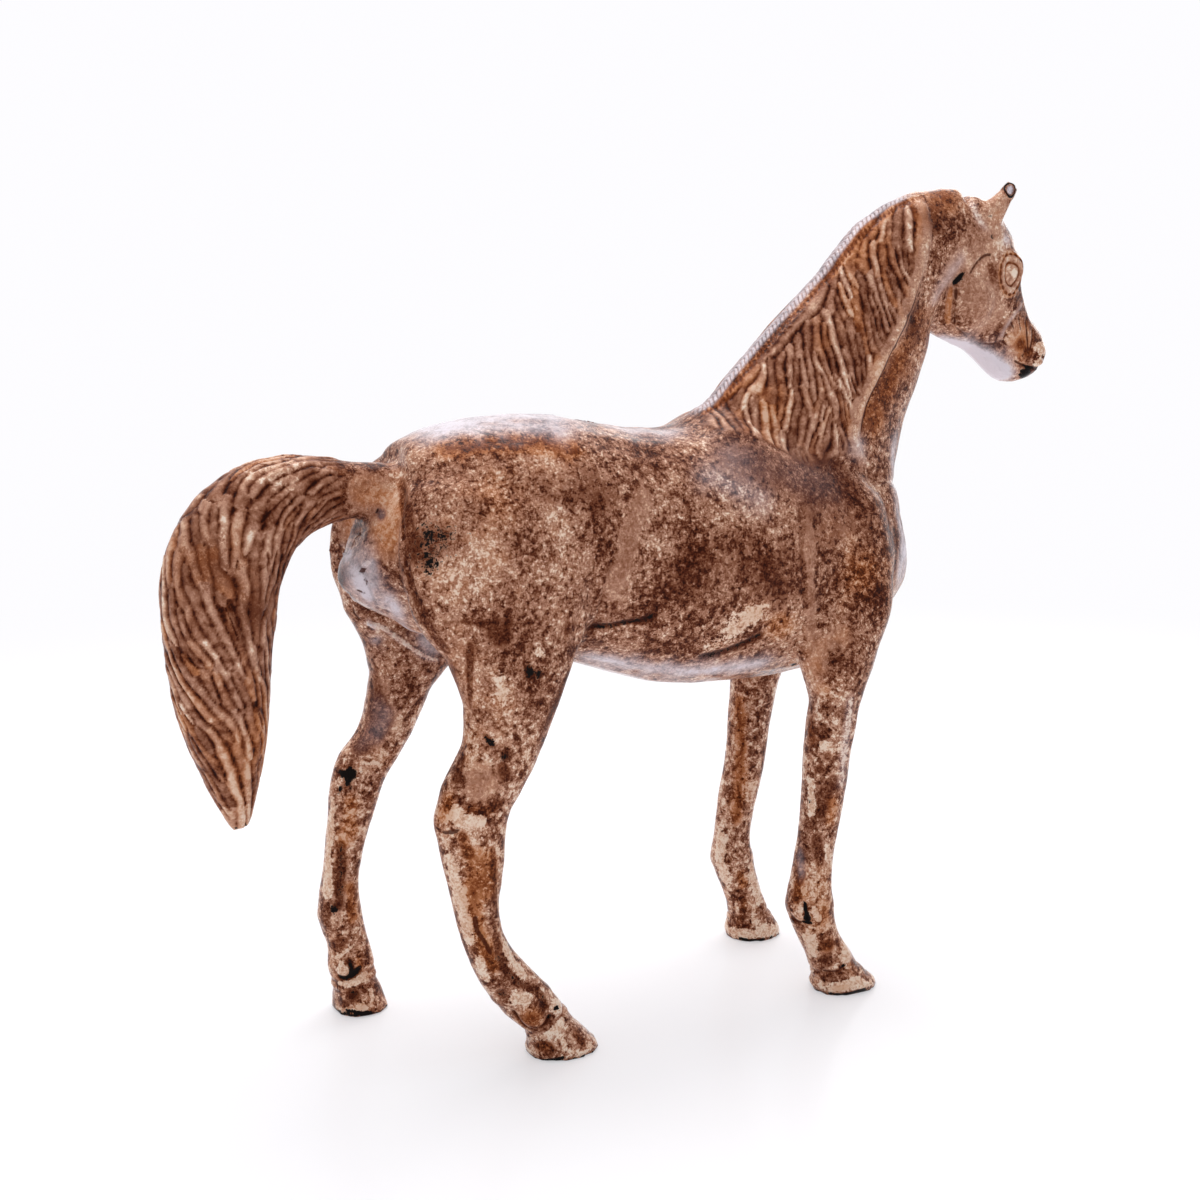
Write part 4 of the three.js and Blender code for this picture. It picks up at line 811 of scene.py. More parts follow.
class Skin:
    """The points of one casting, with what is raised on it or pressed into it."""

    def __init__(self, mesh, planes):
        self.mesh = mesh
        count = len(mesh.vertices)
        self.points = self.read(mesh.vertices, "co", (count, 3)) / MM
        faces = len(mesh.polygons)
        normals = self.read(mesh.polygons, "normal", (faces, 3))
        centres = self.read(mesh.polygons, "center", (faces, 3)) / MM
        areas = self.read(mesh.polygons, "area", (faces,))
        sizes = self.read(mesh.polygons, "loop_total", (faces,), int)
        corners = self.read(mesh.loops, "vertex_index", (len(mesh.loops),), int)
        edges = self.read(mesh.loops, "edge_index", (len(mesh.loops),), int)
        # Faces in a joint plane don't tilt the normals at its rim
        joint = np.zeros(faces, bool)
        for point, across in planes:
            joint |= (np.abs((centres - point) @ across) < 0.02) & (np.abs(normals @ across) > 0.99)
        owner = np.repeat(np.arange(faces), sizes)
        weight = np.where(joint, 1e-9, areas)[owner]
        self.normals = np.stack(
            [np.bincount(corners, weight * normals[owner, k], count) for k in range(3)], axis=1
        )
        self.normals /= np.linalg.norm(self.normals, axis=1, keepdims=True) + 1e-20
        on_joint = np.bincount(edges, joint[owner], len(mesh.edges))
        self.sharp = (on_joint > 0) & (on_joint < np.bincount(edges, minlength=len(mesh.edges)))
        self.lift = np.zeros(count)
        self.marks = {name: np.zeros(count) for name in MARKS}

    @staticmethod
    def read(items, name, shape, kind=float):
        """One value of all items of a mesh as an array."""
        values = np.empty(int(np.prod(shape)), np.int32 if kind is int else np.float32)
        items.foreach_get(name, values)
        return values.reshape(shape).astype(kind)

    def near(self, points, margin):
        """Indices of the skin's points in the box round some points."""
        low, high = points.min(axis=0) - margin, points.max(axis=0) + margin
        return np.flatnonzero(np.all((self.points > low) & (self.points < high), axis=1))

    def draw(self, strokes, sides=(1, -1)):
        """Presses or raises strokes."""
        for stroke in strokes:
            for side in sides:
                line = resample(stroke.path * (1, side, 1), STROKE_STEP)
                chosen = self.near(line, 3 * stroke.width)
                if not len(chosen):
                    continue
                index, distance = nearest(tree_of(line), self.points[chosen])
                ends = np.minimum(index, len(line) - 1 - index) * STROKE_STEP
                waver = 1 + 0.3 * lumps(self.points[chosen], size=4, seed=7)
                shape = np.exp(-((distance / (stroke.width * waver)) ** 2))
                shape *= smoothstep(-1, 2 * stroke.width, ends)
                self.leave(chosen, shape, stroke)

    def dab(self, spots, sides=(1, -1)):
        """Raises, sinks or tints round places."""
        for spot in spots:
            for side in sides:
                at = spot.at * (1, side, 1)
                chosen = self.near(at[None], 2.5 * spot.radius)
                distance = np.linalg.norm(self.points[chosen] - at, axis=1)
                self.leave(chosen, np.exp(-((distance / spot.radius) ** 2)), spot)

    def band(self, foot, rings):
        """Raises or presses rings round a leg whose foot is at a given x."""
        ripple = 0.5 * lumps(self.points, size=7, seed=5) + 0.3 * lumps(self.points, size=2.6, seed=6)
        for ring in rings:
            height = self.points[:, 2] - ring.slope * (self.points[:, 0] - foot) + ripple
            chosen = np.flatnonzero(np.abs(height - ring.level) < 3 * ring.width)
            self.leave(chosen, np.exp(-(((height[chosen] - ring.level) / ring.width) ** 2)), ring)

    def leave(self, chosen, shape, feature):
        """Leaves a feature's lift and marks on the chosen points."""
        self.lift[chosen] += feature.lift * shape
        for name, amount in feature.marks.items():
            self.marks[name][chosen] += amount * shape

    def strands(self, paths, height, region, seed):
        """Raises combed strands that fill a region, with thin grooves between them."""
        lines = [resample(path, STRAND_STEP) for path in paths]
        owner = np.repeat(np.arange(len(lines)), [len(line) for line in lines])
        along = np.concatenate([np.gradient(line, axis=0) for line in lines])
        along /= np.linalg.norm(along, axis=1, keepdims=True)
        rng = np.random.default_rng(seed)
        vigour = rng.uniform(0.64, 1.06, len(lines))
        golden = rng.uniform(-0.35, 0.6, len(lines))
        groove = rng.uniform(0.5, 1.35, (len(lines), len(lines)))
        tree = tree_of(np.concatenate(lines))
        chosen = np.flatnonzero(region > 0.01)
        neighbours, sharpness = 30, 2.8  # points of strands to look at, and how narrow the grooves are
        level, lone = 0.6, 0.8  # middle height of the strands, and height of one with none beside it
        rise = np.zeros(len(chosen))
        tint = np.zeros(len(chosen))
        for i, point in enumerate(self.points[chosen]):
            found = tree.find_n(point, neighbours)
            index = np.array([f[1] for f in found])
            distance = np.array([f[2] for f in found])
            ahead = np.abs((np.array([f[0] for f in found]) - point) @ along[index[0]])
            aside = np.sqrt(np.maximum(distance**2 - ahead**2, 0))
            first = owner[index[0]]
            tint[i] = golden[first]
            beside = np.flatnonzero((owner[index] != first) & (aside > 0.8 * ahead))
            if len(beside):
                second = owner[index[beside[0]]]
                share = 2 * aside[0] / (aside[0] + distance[beside[0]] + 1e-9)
                depth = min(1.0, groove[min(first, second), max(first, second)])
                rise[i] = (1 - depth * min(share, 1.0) ** sharpness) * vigour[first]
            else:
                rise[i] = lone * vigour[first]
        here = region[chosen]
        self.lift[chosen] += here * height * (rise - level)
        self.marks["hair"][chosen] = np.maximum(self.marks["hair"][chosen], here)
        self.marks["ridge"][chosen] += here * rise
        self.marks["warm"][chosen] += here * tint

    def finish(self, name, node, material):
        """Makes the casting an object that stands for its CAD node."""
        mesh = self.mesh
        low, high = (np.array(corner) / MM for corner in CAD_BOX)
        placed = np.clip(self.points + self.normals * self.lift[:, None], low, high)
        mesh.vertices.foreach_set("co", (placed * MM).astype(np.float32).ravel())
        for mark, values in self.marks.items():
            layer = mesh.attributes.new(mark, "FLOAT", "POINT")
            layer.data.foreach_set("value", values.astype(np.float32))
        mesh.shade_smooth()
        edge_layer = mesh.attributes.get("sharp_edge") or mesh.attributes.new("sharp_edge", "BOOLEAN", "EDGE")
        edge_layer.data.foreach_set("value", self.sharp)
        mesh.materials.clear()
        mesh.materials.append(material)
        mesh.update()
        piece = bpy.data.objects.new(name, mesh)
        bpy.context.scene.collection.objects.link(piece)
        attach(piece, "root")
        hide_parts(node)


# Blanks of the castings


def evaluated(source, kind, **settings):
    """A mesh after one modifier."""
    holder = bpy.data.objects.new("holder", source)
    bpy.context.scene.collection.objects.link(holder)
    modifier = holder.modifiers.new("step", kind)
    for name, value in settings.items():
        setattr(modifier, name, value)
    depsgraph = bpy.context.evaluated_depsgraph_get()
    made = bpy.data.meshes.new_from_object(holder.evaluated_get(depsgraph))
    bpy.data.objects.remove(holder)
    return made


def block(low, high, joint=None, under=True):
    """A box between two corners. Where a joint is given, its top or its bottom lies in the joint plane."""
    bm = bmesh.new()
    bmesh.ops.create_cube(bm, size=1)
    low, high = Vector(low), Vector(high)
    bmesh.ops.scale(bm, vec=high - low, verts=bm.verts)
    bmesh.ops.translate(bm, vec=(low + high) / 2, verts=bm.verts)
    if joint:
        place, slope = joint
        for vert in bm.verts:
            if (vert.co.z > 0) == under:
                vert.co.z = place[2] - (vert.co.x - place[0]) * math.tan(math.radians(slope))
    bmesh.ops.scale(bm, vec=(MM, MM, MM), verts=bm.verts)
    mesh = bpy.data.meshes.new("block")
    bm.to_mesh(mesh)
    bm.free()
    cutter = bpy.data.objects.new("block", mesh)
    bpy.context.scene.collection.objects.link(cutter)
    return cutter


def vertex_normals(mesh):
    """Outward directions at the points of a mesh."""
    return Skin.read(mesh.vertex_normals, "vector", (len(mesh.vertices), 3))


def blended_body(voxel):
    """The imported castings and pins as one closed, smooth body."""
    bm = bmesh.new()
    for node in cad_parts.values():
        bm.from_mesh(node.data)
    bmesh.ops.remove_doubles(bm, verts=bm.verts, dist=1e-6)
    bm.normal_update()
    closing = 0.32  # closes the seams between the castings
    for vert in bm.verts:
        vert.co += vert.normal * closing * MM
    raw = bpy.data.meshes.new("raw")
    bm.to_mesh(raw)
    bm.free()
    mesh = evaluated(raw, "REMESH", mode="VOXEL", voxel_size=voxel, adaptivity=0)
    count = len(mesh.vertices)
    points = Skin.read(mesh.vertices, "co", (count, 3)) / MM
    first, second = Skin.read(mesh.edges, "vertices", (len(mesh.edges), 2), int).T
    degree = np.bincount(np.concatenate([first, second]), minlength=count)[:, None]
    height = points[:, 2]
    ear = smoothstep(280, 286, height) * smoothstep(130, 134, points[:, 0])
    head = smoothstep(98, 112, points[:, 0])
    tail = smoothstep(-112, -118, points[:, 0]) * smoothstep(18, 15, np.abs(points[:, 1]))
    leg = smoothstep(140, 118, height) * (1 - tail)
    hoof = smoothstep(16, 11, height)
    # The head and legs are smoothed less, the hooves and ears hardly at all
    soft = 1 - 0.8 * np.maximum(head, leg)
    soft = np.minimum(soft, 1 - 0.95 * np.maximum(hoof, ear))[:, None]
    rounds, shrink, swell = 70, 0.5, -0.526  # smooths without loss of volume
    for _ in range(rounds):
        for strength in (shrink, swell):
            mean = np.stack(
                [
                    np.bincount(first, points[second, k], count) + np.bincount(second, points[first, k], count)
                    for k in range(3)
                ],
                axis=1,
            )
            points += strength * soft * (mean / degree - points)
    mesh.vertices.foreach_set("co", (points * MM).astype(np.float32).ravel())
    mesh.update()
    points -= closing * vertex_normals(mesh)
    mesh.vertices.foreach_set("co", (points * MM).astype(np.float32).ravel())
    mesh.update()
    return evaluated(mesh, "SUBSURF", levels=1, render_levels=1)


@functools.cache
def blanks():
    """A closed blank for each casting, and the planes of their joints."""
    form = bpy.context.scene.horse_form
    body = blended_body(form.blend)
    cutters = {
        "tail": block((-FAR, -DOCK_HALF_WIDTH, -FAR), (TAIL_JOINT_X, DOCK_HALF_WIDTH, FAR)),
        "neck_and_head": block((-FAR, -FAR, -FAR), (FAR, FAR, FAR), NECK_JOINT, under=False),
        "foreleg_right": block((FORELEG_REAR, -FAR, -FAR), (FAR, -LEG_INSIDE, FAR), FORELEG_JOINT),
        "foreleg_left": block((FORELEG_REAR, LEG_INSIDE, -FAR), (FAR, FAR, FAR), FORELEG_JOINT),
        "hindleg_right": block((-FAR, -FAR, -FAR), (HINDLEG_FRONT, -LEG_INSIDE, FAR), HINDLEG_JOINT),
        "hindleg_left": block((-FAR, LEG_INSIDE, -FAR), (HINDLEG_FRONT, FAR, FAR), HINDLEG_JOINT),
        "trunk_right_shell": block((-FAR, -FAR, -FAR), (FAR, 0, FAR)),
    }
    planes = []
    made = {}
    for name, cutter in cutters.items():
        for face in cutter.data.polygons:
            planes.append((np.array(face.center) / MM, np.array(face.normal)))
        settings = {"object": cutter, "solver": "MANIFOLD"}
        made[name] = evaluated(body, "BOOLEAN", operation="INTERSECT", **settings)
        body = evaluated(body, "BOOLEAN", operation="DIFFERENCE", **settings)
        bpy.data.objects.remove(cutter)
    made["trunk_left_shell"] = body
    return made, planes


def refine(mesh, wanted, smooth):
    """Splits the faces of a mesh where fine detail is wanted."""
    bm = bmesh.new()
    bm.from_mesh(mesh)
    centres = np.array([face.calc_center_median() for face in bm.faces]) / MM
    fine = [face for face, is_fine in zip(bm.faces, wanted(centres)) if is_fine]
    edges = list(dict.fromkeys(edge for face in fine for edge in face.edges))
    bmesh.ops.subdivide_edges(
        bm, edges=edges, cuts=1, smooth=smooth, smooth_falloff="INVERSE_SQUARE", use_grid_fill=True
    )
    bm.to_mesh(mesh)
    bm.free()


def skin_of(name, *wanted, smooth=0.0):
    """The skin of a casting's blank, finer where that is wanted."""
    made, planes = blanks()
    for choose in wanted:
        refine(made[name], choose, smooth)
    return Skin(made[name], planes)


def fine_head(centres):
    """Where the neck and head have fine detail: eyes, muzzle, ears and crest."""
    x, y, z = centres.T
    eye = np.linalg.norm(centres * (1, 0, 1) - EYE * (1, 0, 1), axis=1) < 7.6
    muzzle = (x > 151) & (z < 244) & (np.abs(y) > 4)
    ear = (z > 290) & (x > 143) | (z > 288) & (y > 8)
    crest = np.array(MANE_OUTLINE[:11], float)
    near_crest = np.abs(z - np.interp(x, crest[:, 0], crest[:, 1])) < 3.0
    return eye & (np.abs(y) > 7) | muzzle | ear | near_crest & (np.abs(y) < 4.0) & (x > 14) & (x < 112)


def fine_ear(centres):
    """Where the right ear has the finest detail: its open end."""
    at, _ = EAR_ENDS[-1]
    return np.linalg.norm((centres - at) * (1, 0.5, 1), axis=1) < 3.4


def fine_foot(centres):
    """Where a leg has fine detail: hoof, pastern and fetlock."""
    return centres[:, 2] < 40


# Hair


def comb(guides, gap_at, seed, longest):
    """Strands on a flat that follow guides at an even distance. The gap is 0 where no strand may be."""
    rng = np.random.default_rng(seed)
    lines = [resample(guide, STRAND_STEP) for guide in guides]
    starts = np.concatenate([line[:-1] for line in lines])
    headings = np.concatenate([np.diff(line, axis=0) for line in lines])
    headings /= np.linalg.norm(headings, axis=1, keepdims=True)
    cloud = np.concatenate(lines)
    every, fewest = 5, 5  # points between the starts of strands, and in the shortest strand
    start_share, run_share = 0.97, 0.66  # how much of the gap a strand keeps where it starts and further on
    evening, sway_width = 6, 0.28  # how far the guides are evened out, and how much a strand sways

    def heading_at(point):
        """The guides' direction at a point."""
        weight = 1 / (((starts - point) ** 2).sum(axis=1) + evening) ** 2
        heading = weight @ headings
        return heading / np.linalg.norm(heading)

    def is_clear(point, share):
        """Whether no strand is nearer than a share of the gap."""
        gap = gap_at(point)
        return gap > 0 and ((cloud - point) ** 2).sum(axis=1).min() > (share * gap) ** 2

    waiting = list(lines)
    while waiting:
        line = waiting.pop(0)
        for place, side in itertools.product(line[::every], (1, -1)):
            across = heading_at(place)[::-1] * (-side, side)
            start = place + across * max(gap_at(place), 0.5) * rng.uniform(1.02, 1.2)
            reach, phase = rng.uniform(0.4, 1) * longest, rng.uniform(0, 2 * math.pi)
            beat = rng.uniform(1.8, 3.6)
            if not is_clear(start, start_share):
                continue
            halves = []
            for way in (1, -1):
                point, run, half = start, 0.0, []
                while run < reach / 2:
                    heading = heading_at(point)
                    sway = sway_width * math.sin(run / beat + phase)
                    point = point + way * STRAND_STEP * (heading + sway * heading[::-1] * (-1, 1))
                    run += STRAND_STEP
                    if not is_clear(point, run_share):
                        break
                    half.append(point)
                halves.append(half)
            made = np.array(halves[1][::-1] + [start] + halves[0])
            if len(made) >= fewest:
                lines.append(made)
                waiting.append(made)
                cloud = np.concatenate([cloud, made])
    return lines


def uneven(gap, point):
    """A distance between strands that changes from place to place."""
    return gap * (1 + 0.3 * math.sin(0.5 * point[0] + 2.0 * math.sin(0.21 * point[1])))


def comb_mane(skin, form):
    """Combs the mane down both sides of the neck."""
    points = skin.points
    outline = MANE_OUTLINE
    within = inside_outline(points[:, [0, 2]], outline)
    edge = np.concatenate([resample([a, b], 0.8) for a, b in zip(outline, outline[1:] + outline[:1])])
    outside = 30  # further out than the neck's sides
    chosen = skin.near(np.array([(x, y, z) for x, z in outline for y in (-outside, outside)]), 2)
    _, margin = nearest(tree_of(np.insert(edge, 1, 0, axis=1)), points[chosen] * (1, 0, 1))
    region = np.zeros(len(points))
    region[chosen] = smoothstep(-0.8, 1.2, np.where(within[chosen], margin, -margin))
    for side in (-1, 1):
        here = region * smoothstep(1.5, 4, side * points[:, 1])
        if here.any():
            skin.strands(mane_strands(side), form.strand_height / MM, here, seed=11)


@functools.cache
def mane_strands(side):
    """Strands of the mane on one side, laid on the neck."""
    gap = bpy.context.scene.horse_form.mane_gap / MM
    flank = flank_of_neck(side)
    paths = []

    def gap_at(point):
        """Distance between strands at a place in side view, 0 outside the mane."""
        return uneven(gap, point) * inside_outline(point[None], MANE_OUTLINE)[0]

    for path in comb(MANE_GUIDES, gap_at, seed=12 + side, longest=60):
        index, _ = nearest(flank["tree"], np.insert(path, 1, 0, axis=1))
        paths.append(np.insert(path, 1, flank["across"][index], axis=1))
    return paths


@functools.cache
def flank_of_neck(side):
    """How far the neck and the withers stand out to one side, by place in side view."""
    made, _ = blanks()
    found = []
    for name in ("neck_and_head", "trunk_right_shell", "trunk_left_shell"):
        points = Skin.read(made[name].vertices, "co", (len(made[name].vertices), 3)) / MM
        found.append(points[(side * points[:, 1] > 1.5) & (points[:, 0] > 0) & (points[:, 2] > 185)])
    points = np.concatenate(found)
    return {"tree": tree_of(points * (1, 0, 1)), "across": points[:, 1]}


def notch_crest(skin, form):
    """Notches the edge along the crest of the neck, which carries a pale painted reflection, with a herringbone on
    either side.
    """
    points = skin.points
    line = []
    for x in np.arange(12, 112, 1.0):
        column = points[(np.abs(points[:, 0] - x) < 0.6) & (np.abs(points[:, 1]) < 4)]
        if len(column):
            line.append((x, 0, column[:, 2].max()))
    step = 0.25
    line = resample(np.array(line), step)
    chosen = skin.near(line, 8)
    index, distance = nearest(tree_of(line), points[chosen])
    run = index * step
    fade = smoothstep(0, 8, run) * smoothstep(0, 10, len(line) * step - run)
    slant = run + 0.8 * np.abs(points[chosen, 1]) + 0.3 * lumps(points[chosen], size=5, seed=3)
    tooth = (0.5 + 0.5 * np.cos(2 * math.pi * slant / (form.crest_pitch / MM))) ** 3
    rim = smoothstep(4.0, 2.4, distance)
    braid_place, braid_width = 5.4, 1.4
    braid = np.exp(-(((distance - braid_place) / braid_width) ** 2))
    depth = form.crest_depth / MM
    skin.lift[chosen] += fade * (rim * (0.3 - depth * tooth) - 0.5 * braid * (0.5 + 0.5 * tooth))
    # Painted reflection along the rim of the crest, less in the notches
    skin.marks["haze"][chosen] += fade * rim * (1.0 - 0.7 * tooth)
    skin.marks["dark"][chosen] += fade * (braid * (0.4 + 0.6 * tooth) + 0.5 * rim * tooth)
    skin.marks["warm"][chosen] += fade * braid * 1.4


def tail_curve():
    """Centres, directions and half sizes along the tail."""
    table = np.array(TAIL_SECTIONS, float)
    run = np.concatenate([[0], np.cumsum(np.linalg.norm(np.diff(table[:, :2], axis=0), axis=1))])
    count, rounds = 260, 40  # points along the tail, and how often they are evened out
    places = np.linspace(0, run[-1], count)
    dense = np.stack([np.interp(places, run, table[:, k]) for k in range(5)], axis=1)
    for _ in range(rounds):
        dense[1:-1] = 0.25 * dense[:-2] + 0.5 * dense[1:-1] + 0.25 * dense[2:]
    along = np.gradient(dense[:, :2], axis=0)
    along /= np.linalg.norm(along, axis=1, keepdims=True)
    inward = np.stack([-along[:, 1], along[:, 0]], axis=1)
    return places, dense, inward


def comb_tail(skin, form):
    """Combs the tail along its curve, all round."""
    places, dense, inward = tail_curve()
    centre_tree = tree_of(np.insert(dense[:, :2], 1, 0, axis=1))

    def unrolled(points):
        """Points on the tail as run along it and turn about it."""
        index, _ = nearest(centre_tree, points * (1, 0, 1))
        offset = ((points[:, [0, 2]] - dense[index, :2]) * inward[index]).sum(axis=1)
        half = np.where(offset > 0, dense[index, 2], dense[index, 3])
        around = np.arctan2(points[:, 1] / dense[index, 4], offset / half)
        return np.stack([places[index], around * TAIL_ROLL], axis=1)

    def rolled(flat):
        """Unrolled points, back on the tail."""
        index = np.clip(np.searchsorted(places, flat[:, 0]), 0, len(places) - 1)
        around = flat[:, 1] / TAIL_ROLL
        half = np.where(np.cos(around) > 0, dense[index, 2], dense[index, 3])
        shift = inward[index] * (np.cos(around) * half)[:, None]
        across = np.sin(around) * dense[index, 4]
        return np.stack([dense[index, 0] + shift[:, 0], across, dense[index, 1] + shift[:, 1]], axis=1)

    half_turn = TAIL_ROLL * math.pi
    right = [unrolled(np.array(guide)) for guide in TAIL_GUIDES]
    guides = right + [guide * (1, -1) for guide in right]

    def gap_at(point):
        """Distance between strands at an unrolled point, wider towards the tip."""
        index = min(np.searchsorted(places, point[0]), len(places) - 1)
        if not (TAIL_BARE < point[0] < places[-1] - 0.5 and abs(point[1]) < half_turn):
            return 0.0
        return uneven(form.tail_gap / MM, point) * max(1.0, 11.0 / dense[index, 4])

    paths = [rolled(path) for path in comb(guides, gap_at, seed=21, longest=80)]
    region = smoothstep(TAIL_BARE - 1, TAIL_BARE + 7, unrolled(skin.points)[:, 0])
    skin.strands(paths, form.strand_height / MM, region, seed=22)


# Finish


class Socket:
    """A shader socket that takes part in sums and products."""

    def __init__(self, tree, socket=None):
        self.tree = tree
        self.socket = socket

    def node(self, kind, settings=None, inputs=None, output=0):
        """Adds a node with its settings and the values or links of its sockets, and gives one output."""
        node = self.tree.nodes.new(kind)
        for name, value in (settings or {}).items():
            if name == "stops":
                while len(node.color_ramp.elements) < len(value):
                    node.color_ramp.elements.new(1)
                for element, (place, colour) in zip(node.color_ramp.elements, value):
                    element.position = place
                    element.color = (*colour, 1)
            else:
                setattr(node, name, value)
        for name, value in (inputs or {}).items():
            if isinstance(value, Socket):
                self.tree.links.new(value.socket, node.inputs[name])
            elif isinstance(value, (tuple, list)) and len(node.inputs[name].default_value) == 4 and len(value) == 3:
                node.inputs[name].default_value = (*value, 1)
            else:
                node.inputs[name].default_value = value
        return Socket(self.tree, node.outputs[output])

    def math(self, operation, *values):
        """One Math node on values."""
        return self.node("ShaderNodeMath", {"operation": operation}, dict(enumerate(values)))

    def __add__(self, other):
        return self.math("ADD", self, other)

    __radd__ = __add__

    def __sub__(self, other):
        return self.math("SUBTRACT", self, other)

    def __rsub__(self, other):
        return self.math("SUBTRACT", other, self)

    def __mul__(self, other):
        return self.math("MULTIPLY", self, other)

    __rmul__ = __mul__

    def clamp(self):
        """This value, kept from 0 to 1."""
        return self.math("MINIMUM", self.math("MAXIMUM", self, 0.0), 1.0)

    def step(self, low, high):
        """0 below low, 1 above high and a smooth rise between."""
        settings = {"interpolation_type": "SMOOTHSTEP"}
        return self.node("ShaderNodeMapRange", settings, {"Value": self, "From Min": low, "From Max": high})

    def ramp(self, *stops):
        """A colour by this value, from stops that are a place and a colour."""
        return self.node("ShaderNodeValToRGB", {"stops": stops}, {"Fac": self})

    def mix(self, below, above):
        """One of two colours, by this value."""
        settings = {"data_type": "RGBA", "clamp_factor": True}
        return self.node("ShaderNodeMix", settings, {0: self, 6: below, 7: above}, 2)


def new_material(name):
    """An empty node material, its output and a socket to start from."""
    material = bpy.data.materials.new(name)
    material.use_nodes = True
    material.node_tree.nodes.clear()
    output = material.node_tree.nodes.new("ShaderNodeOutputMaterial")
    return material, output, Socket(material.node_tree)


def noise(start, place, scale, detail, roughness, distortion=0.0):
    """A noise value about a place."""
    inputs = {"Vector": place, "Scale": scale, "Detail": detail, "Roughness": roughness, "Distortion": distortion}
    return start.node("ShaderNodeTexNoise", None, inputs, "Fac")


@functools.cache
def patina():
    """Mottled brown patina on rubbed metal, under clear lacquer, with painted reflection and painted highlights in
    its colour.
    """
    finish = bpy.context.scene.horse_patina
    material, output, start = new_material("patina")
    place = start.node("ShaderNodeTexCoord", None, None, "Object")
    mark = {name: start.node("ShaderNodeAttribute", {"attribute_name": name}, None, "Fac") for name in MARKS}
    speck = noise(start, place, 430, 5, 0.74, 0.3) - 0.5
    grain = noise(start, place, 1300, 3, 0.66) - 0.5
    cloud = noise(start, place, 62, 4, 0.62) - 0.5
    drift = noise(start, place, 18, 2, 0.5) - 0.5
    vein = noise(start, place, 210, 5, 0.64, 0.5) - 0.5
    fleck = noise(start, place, 820, 4, 0.7, 0.3) - 0.5
    ragged = speck * 1.5 + vein * 0.9 + grain * 0.7

    def area(name, softness):
        """Where a mark lies, with a ragged edge."""
        return (mark[name] * 1.1 - 0.5 + ragged).step(-softness, softness) * (mark[name] * 4.0).clamp()

    # Tone: 0 is smoked, 1 is rubbed bare
    net = (speck + cloud * 0.5 + drift * 0.3 + 0.025).step(-0.07, 0.07)
    ground = 0.3 + net * 0.25 + speck * 1.2 + grain * 1.1 + cloud * 0.7 + drift * 0.3
    patch = (vein + speck * 0.5 + cloud * 0.3 + 0.02).step(-0.09, 0.09)
    veined = 0.42 + patch * 0.28 + vein * 1.1 + speck * 1.6 + grain * 1.2
    # Strands: painted pale along their tops, a painted highlight, and dark in the grooves between them, partly the
    # patina in the hollows and partly painted shade
    hair = 0.03 + mark["ridge"] * 0.48 + mark["ridge"] * mark["ridge"] * 0.32
    hair = hair + speck * 0.9 + vein * 1.3 + cloud * 0.6
    tone = ground + (veined - ground) * mark["marble"].clamp()
    hairy = mark["hair"].clamp()
    tone = tone + (hair - tone) * hairy
    worn = (mark["bare"] * 1.3 - 0.5 + speck * 0.7 + cloud * 0.7).step(-0.25, 0.25) * (mark["bare"] * 4.0).clamp()
    tone = tone + (0.66 + mark["pale"] * 0.3 + cloud * 0.8 + speck * 0.6 + grain * 0.5 - tone) * worn * 0.85
    tone = tone + (0.15 + speck * 0.9 + grain * 0.9 + vein * 0.4 - tone) * area("dark", 0.2) * 0.75
    flecks = (fleck + cloud * 0.3 + speck * 0.3 - 0.035).step(0.0, 0.09) * 0.26
    tone = tone + flecks * (1.0 - mark["bare"].clamp() * 0.5) * (1.0 - hairy * 0.8)
    # Pale marks: rubbed paint, and also painted highlights: the glint of the eyes and the pale that goes with the
    # painted reflection
    rubbed = area("pale", 0.14) * (1.0 - hairy * (1.1 - mark["ridge"]).clamp()) * (1.0 - worn * 0.7)
    tone = tone + (0.98 + speck * 0.7 + grain * 0.7 - tone) * rubbed * 0.9
    cool = tone.ramp(
        (0.0, finish.soot[:]),
        (0.14, finish.umber[:]),
        (0.30, finish.brown[:]),
        (0.53, finish.tan[:]),
        (0.76, finish.sand[:]),
        (0.92, finish.cream[:]),
        (1.0, finish.blush[:]),
    )
    warm = tone.ramp(
        (0.04, finish.soot[:]),
        (0.36, finish.rust[:]),
        (0.68, finish.amber[:]),
        (0.98, finish.cream[:]),
    )
    stain = (mark["warm"] * 0.85 - 0.33 + cloud * 1.2 + vein * 0.6 + drift * 0.9).step(-0.3, 0.45)
    colour = stain.mix(cool, warm)
    # Painted reflection: where these marks lie, the colour turns to the pale lavender of the surround as the
    # lacquer reflects it on glancing surfaces
    reflection_cover = mark["haze"].clamp()
    reflection_share = mark["haze"] * 0.72 + (speck * 1.2 + cloud * 1.0 + vein * 0.8 + grain * 0.8) * reflection_cover
    colour = reflection_share.clamp().mix(colour, finish.haze[:])
    thread = (mark["line"] - 0.4 + speck * 1.0 + grain * 0.8).step(0.0, 0.3) * (mark["line"] * 4.0).clamp()
    colour = (thread * 0.9).mix(colour, finish.umber[:])
    smoke = (mark["black"] - 0.55 + speck * 1.8 + vein * 0.8 + grain * 1.6 + fleck * 1.2).step(0.0, 0.14)
    smoke = smoke * (mark["black"] * 5.0).clamp()
    colour = smoke.mix(colour, finish.black[:])
    relief = speck * 0.7 + grain * 0.7
    bump = start.node("ShaderNodeBump", None, {"Strength": 0.6, "Distance": 0.0008, "Height": relief}, "Normal")
    facing = start.node("ShaderNodeLayerWeight", None, {"Blend": 0.5, "Normal": bump}, "Facing")
    shader = start.node(
        "ShaderNodeBsdfPrincipled",
        None,
        {
            "Base Color": colour,
            "Roughness": 0.5 + speck * 0.5,
            "Specular IOR Level": 0.04,
            "Normal": bump,
            "Coat Weight": finish.lacquer * (0.03 + 0.97 * facing.step(0.4, 0.9)),
            "Coat Roughness": finish.lacquer_roughness,
            "Sheen Weight": 0.06,
            "Sheen Roughness": 0.3,
            "Sheen Tint": finish.haze[:],
        },
    )
    material.node_tree.links.new(shader.socket, output.inputs["Surface"])
    return material


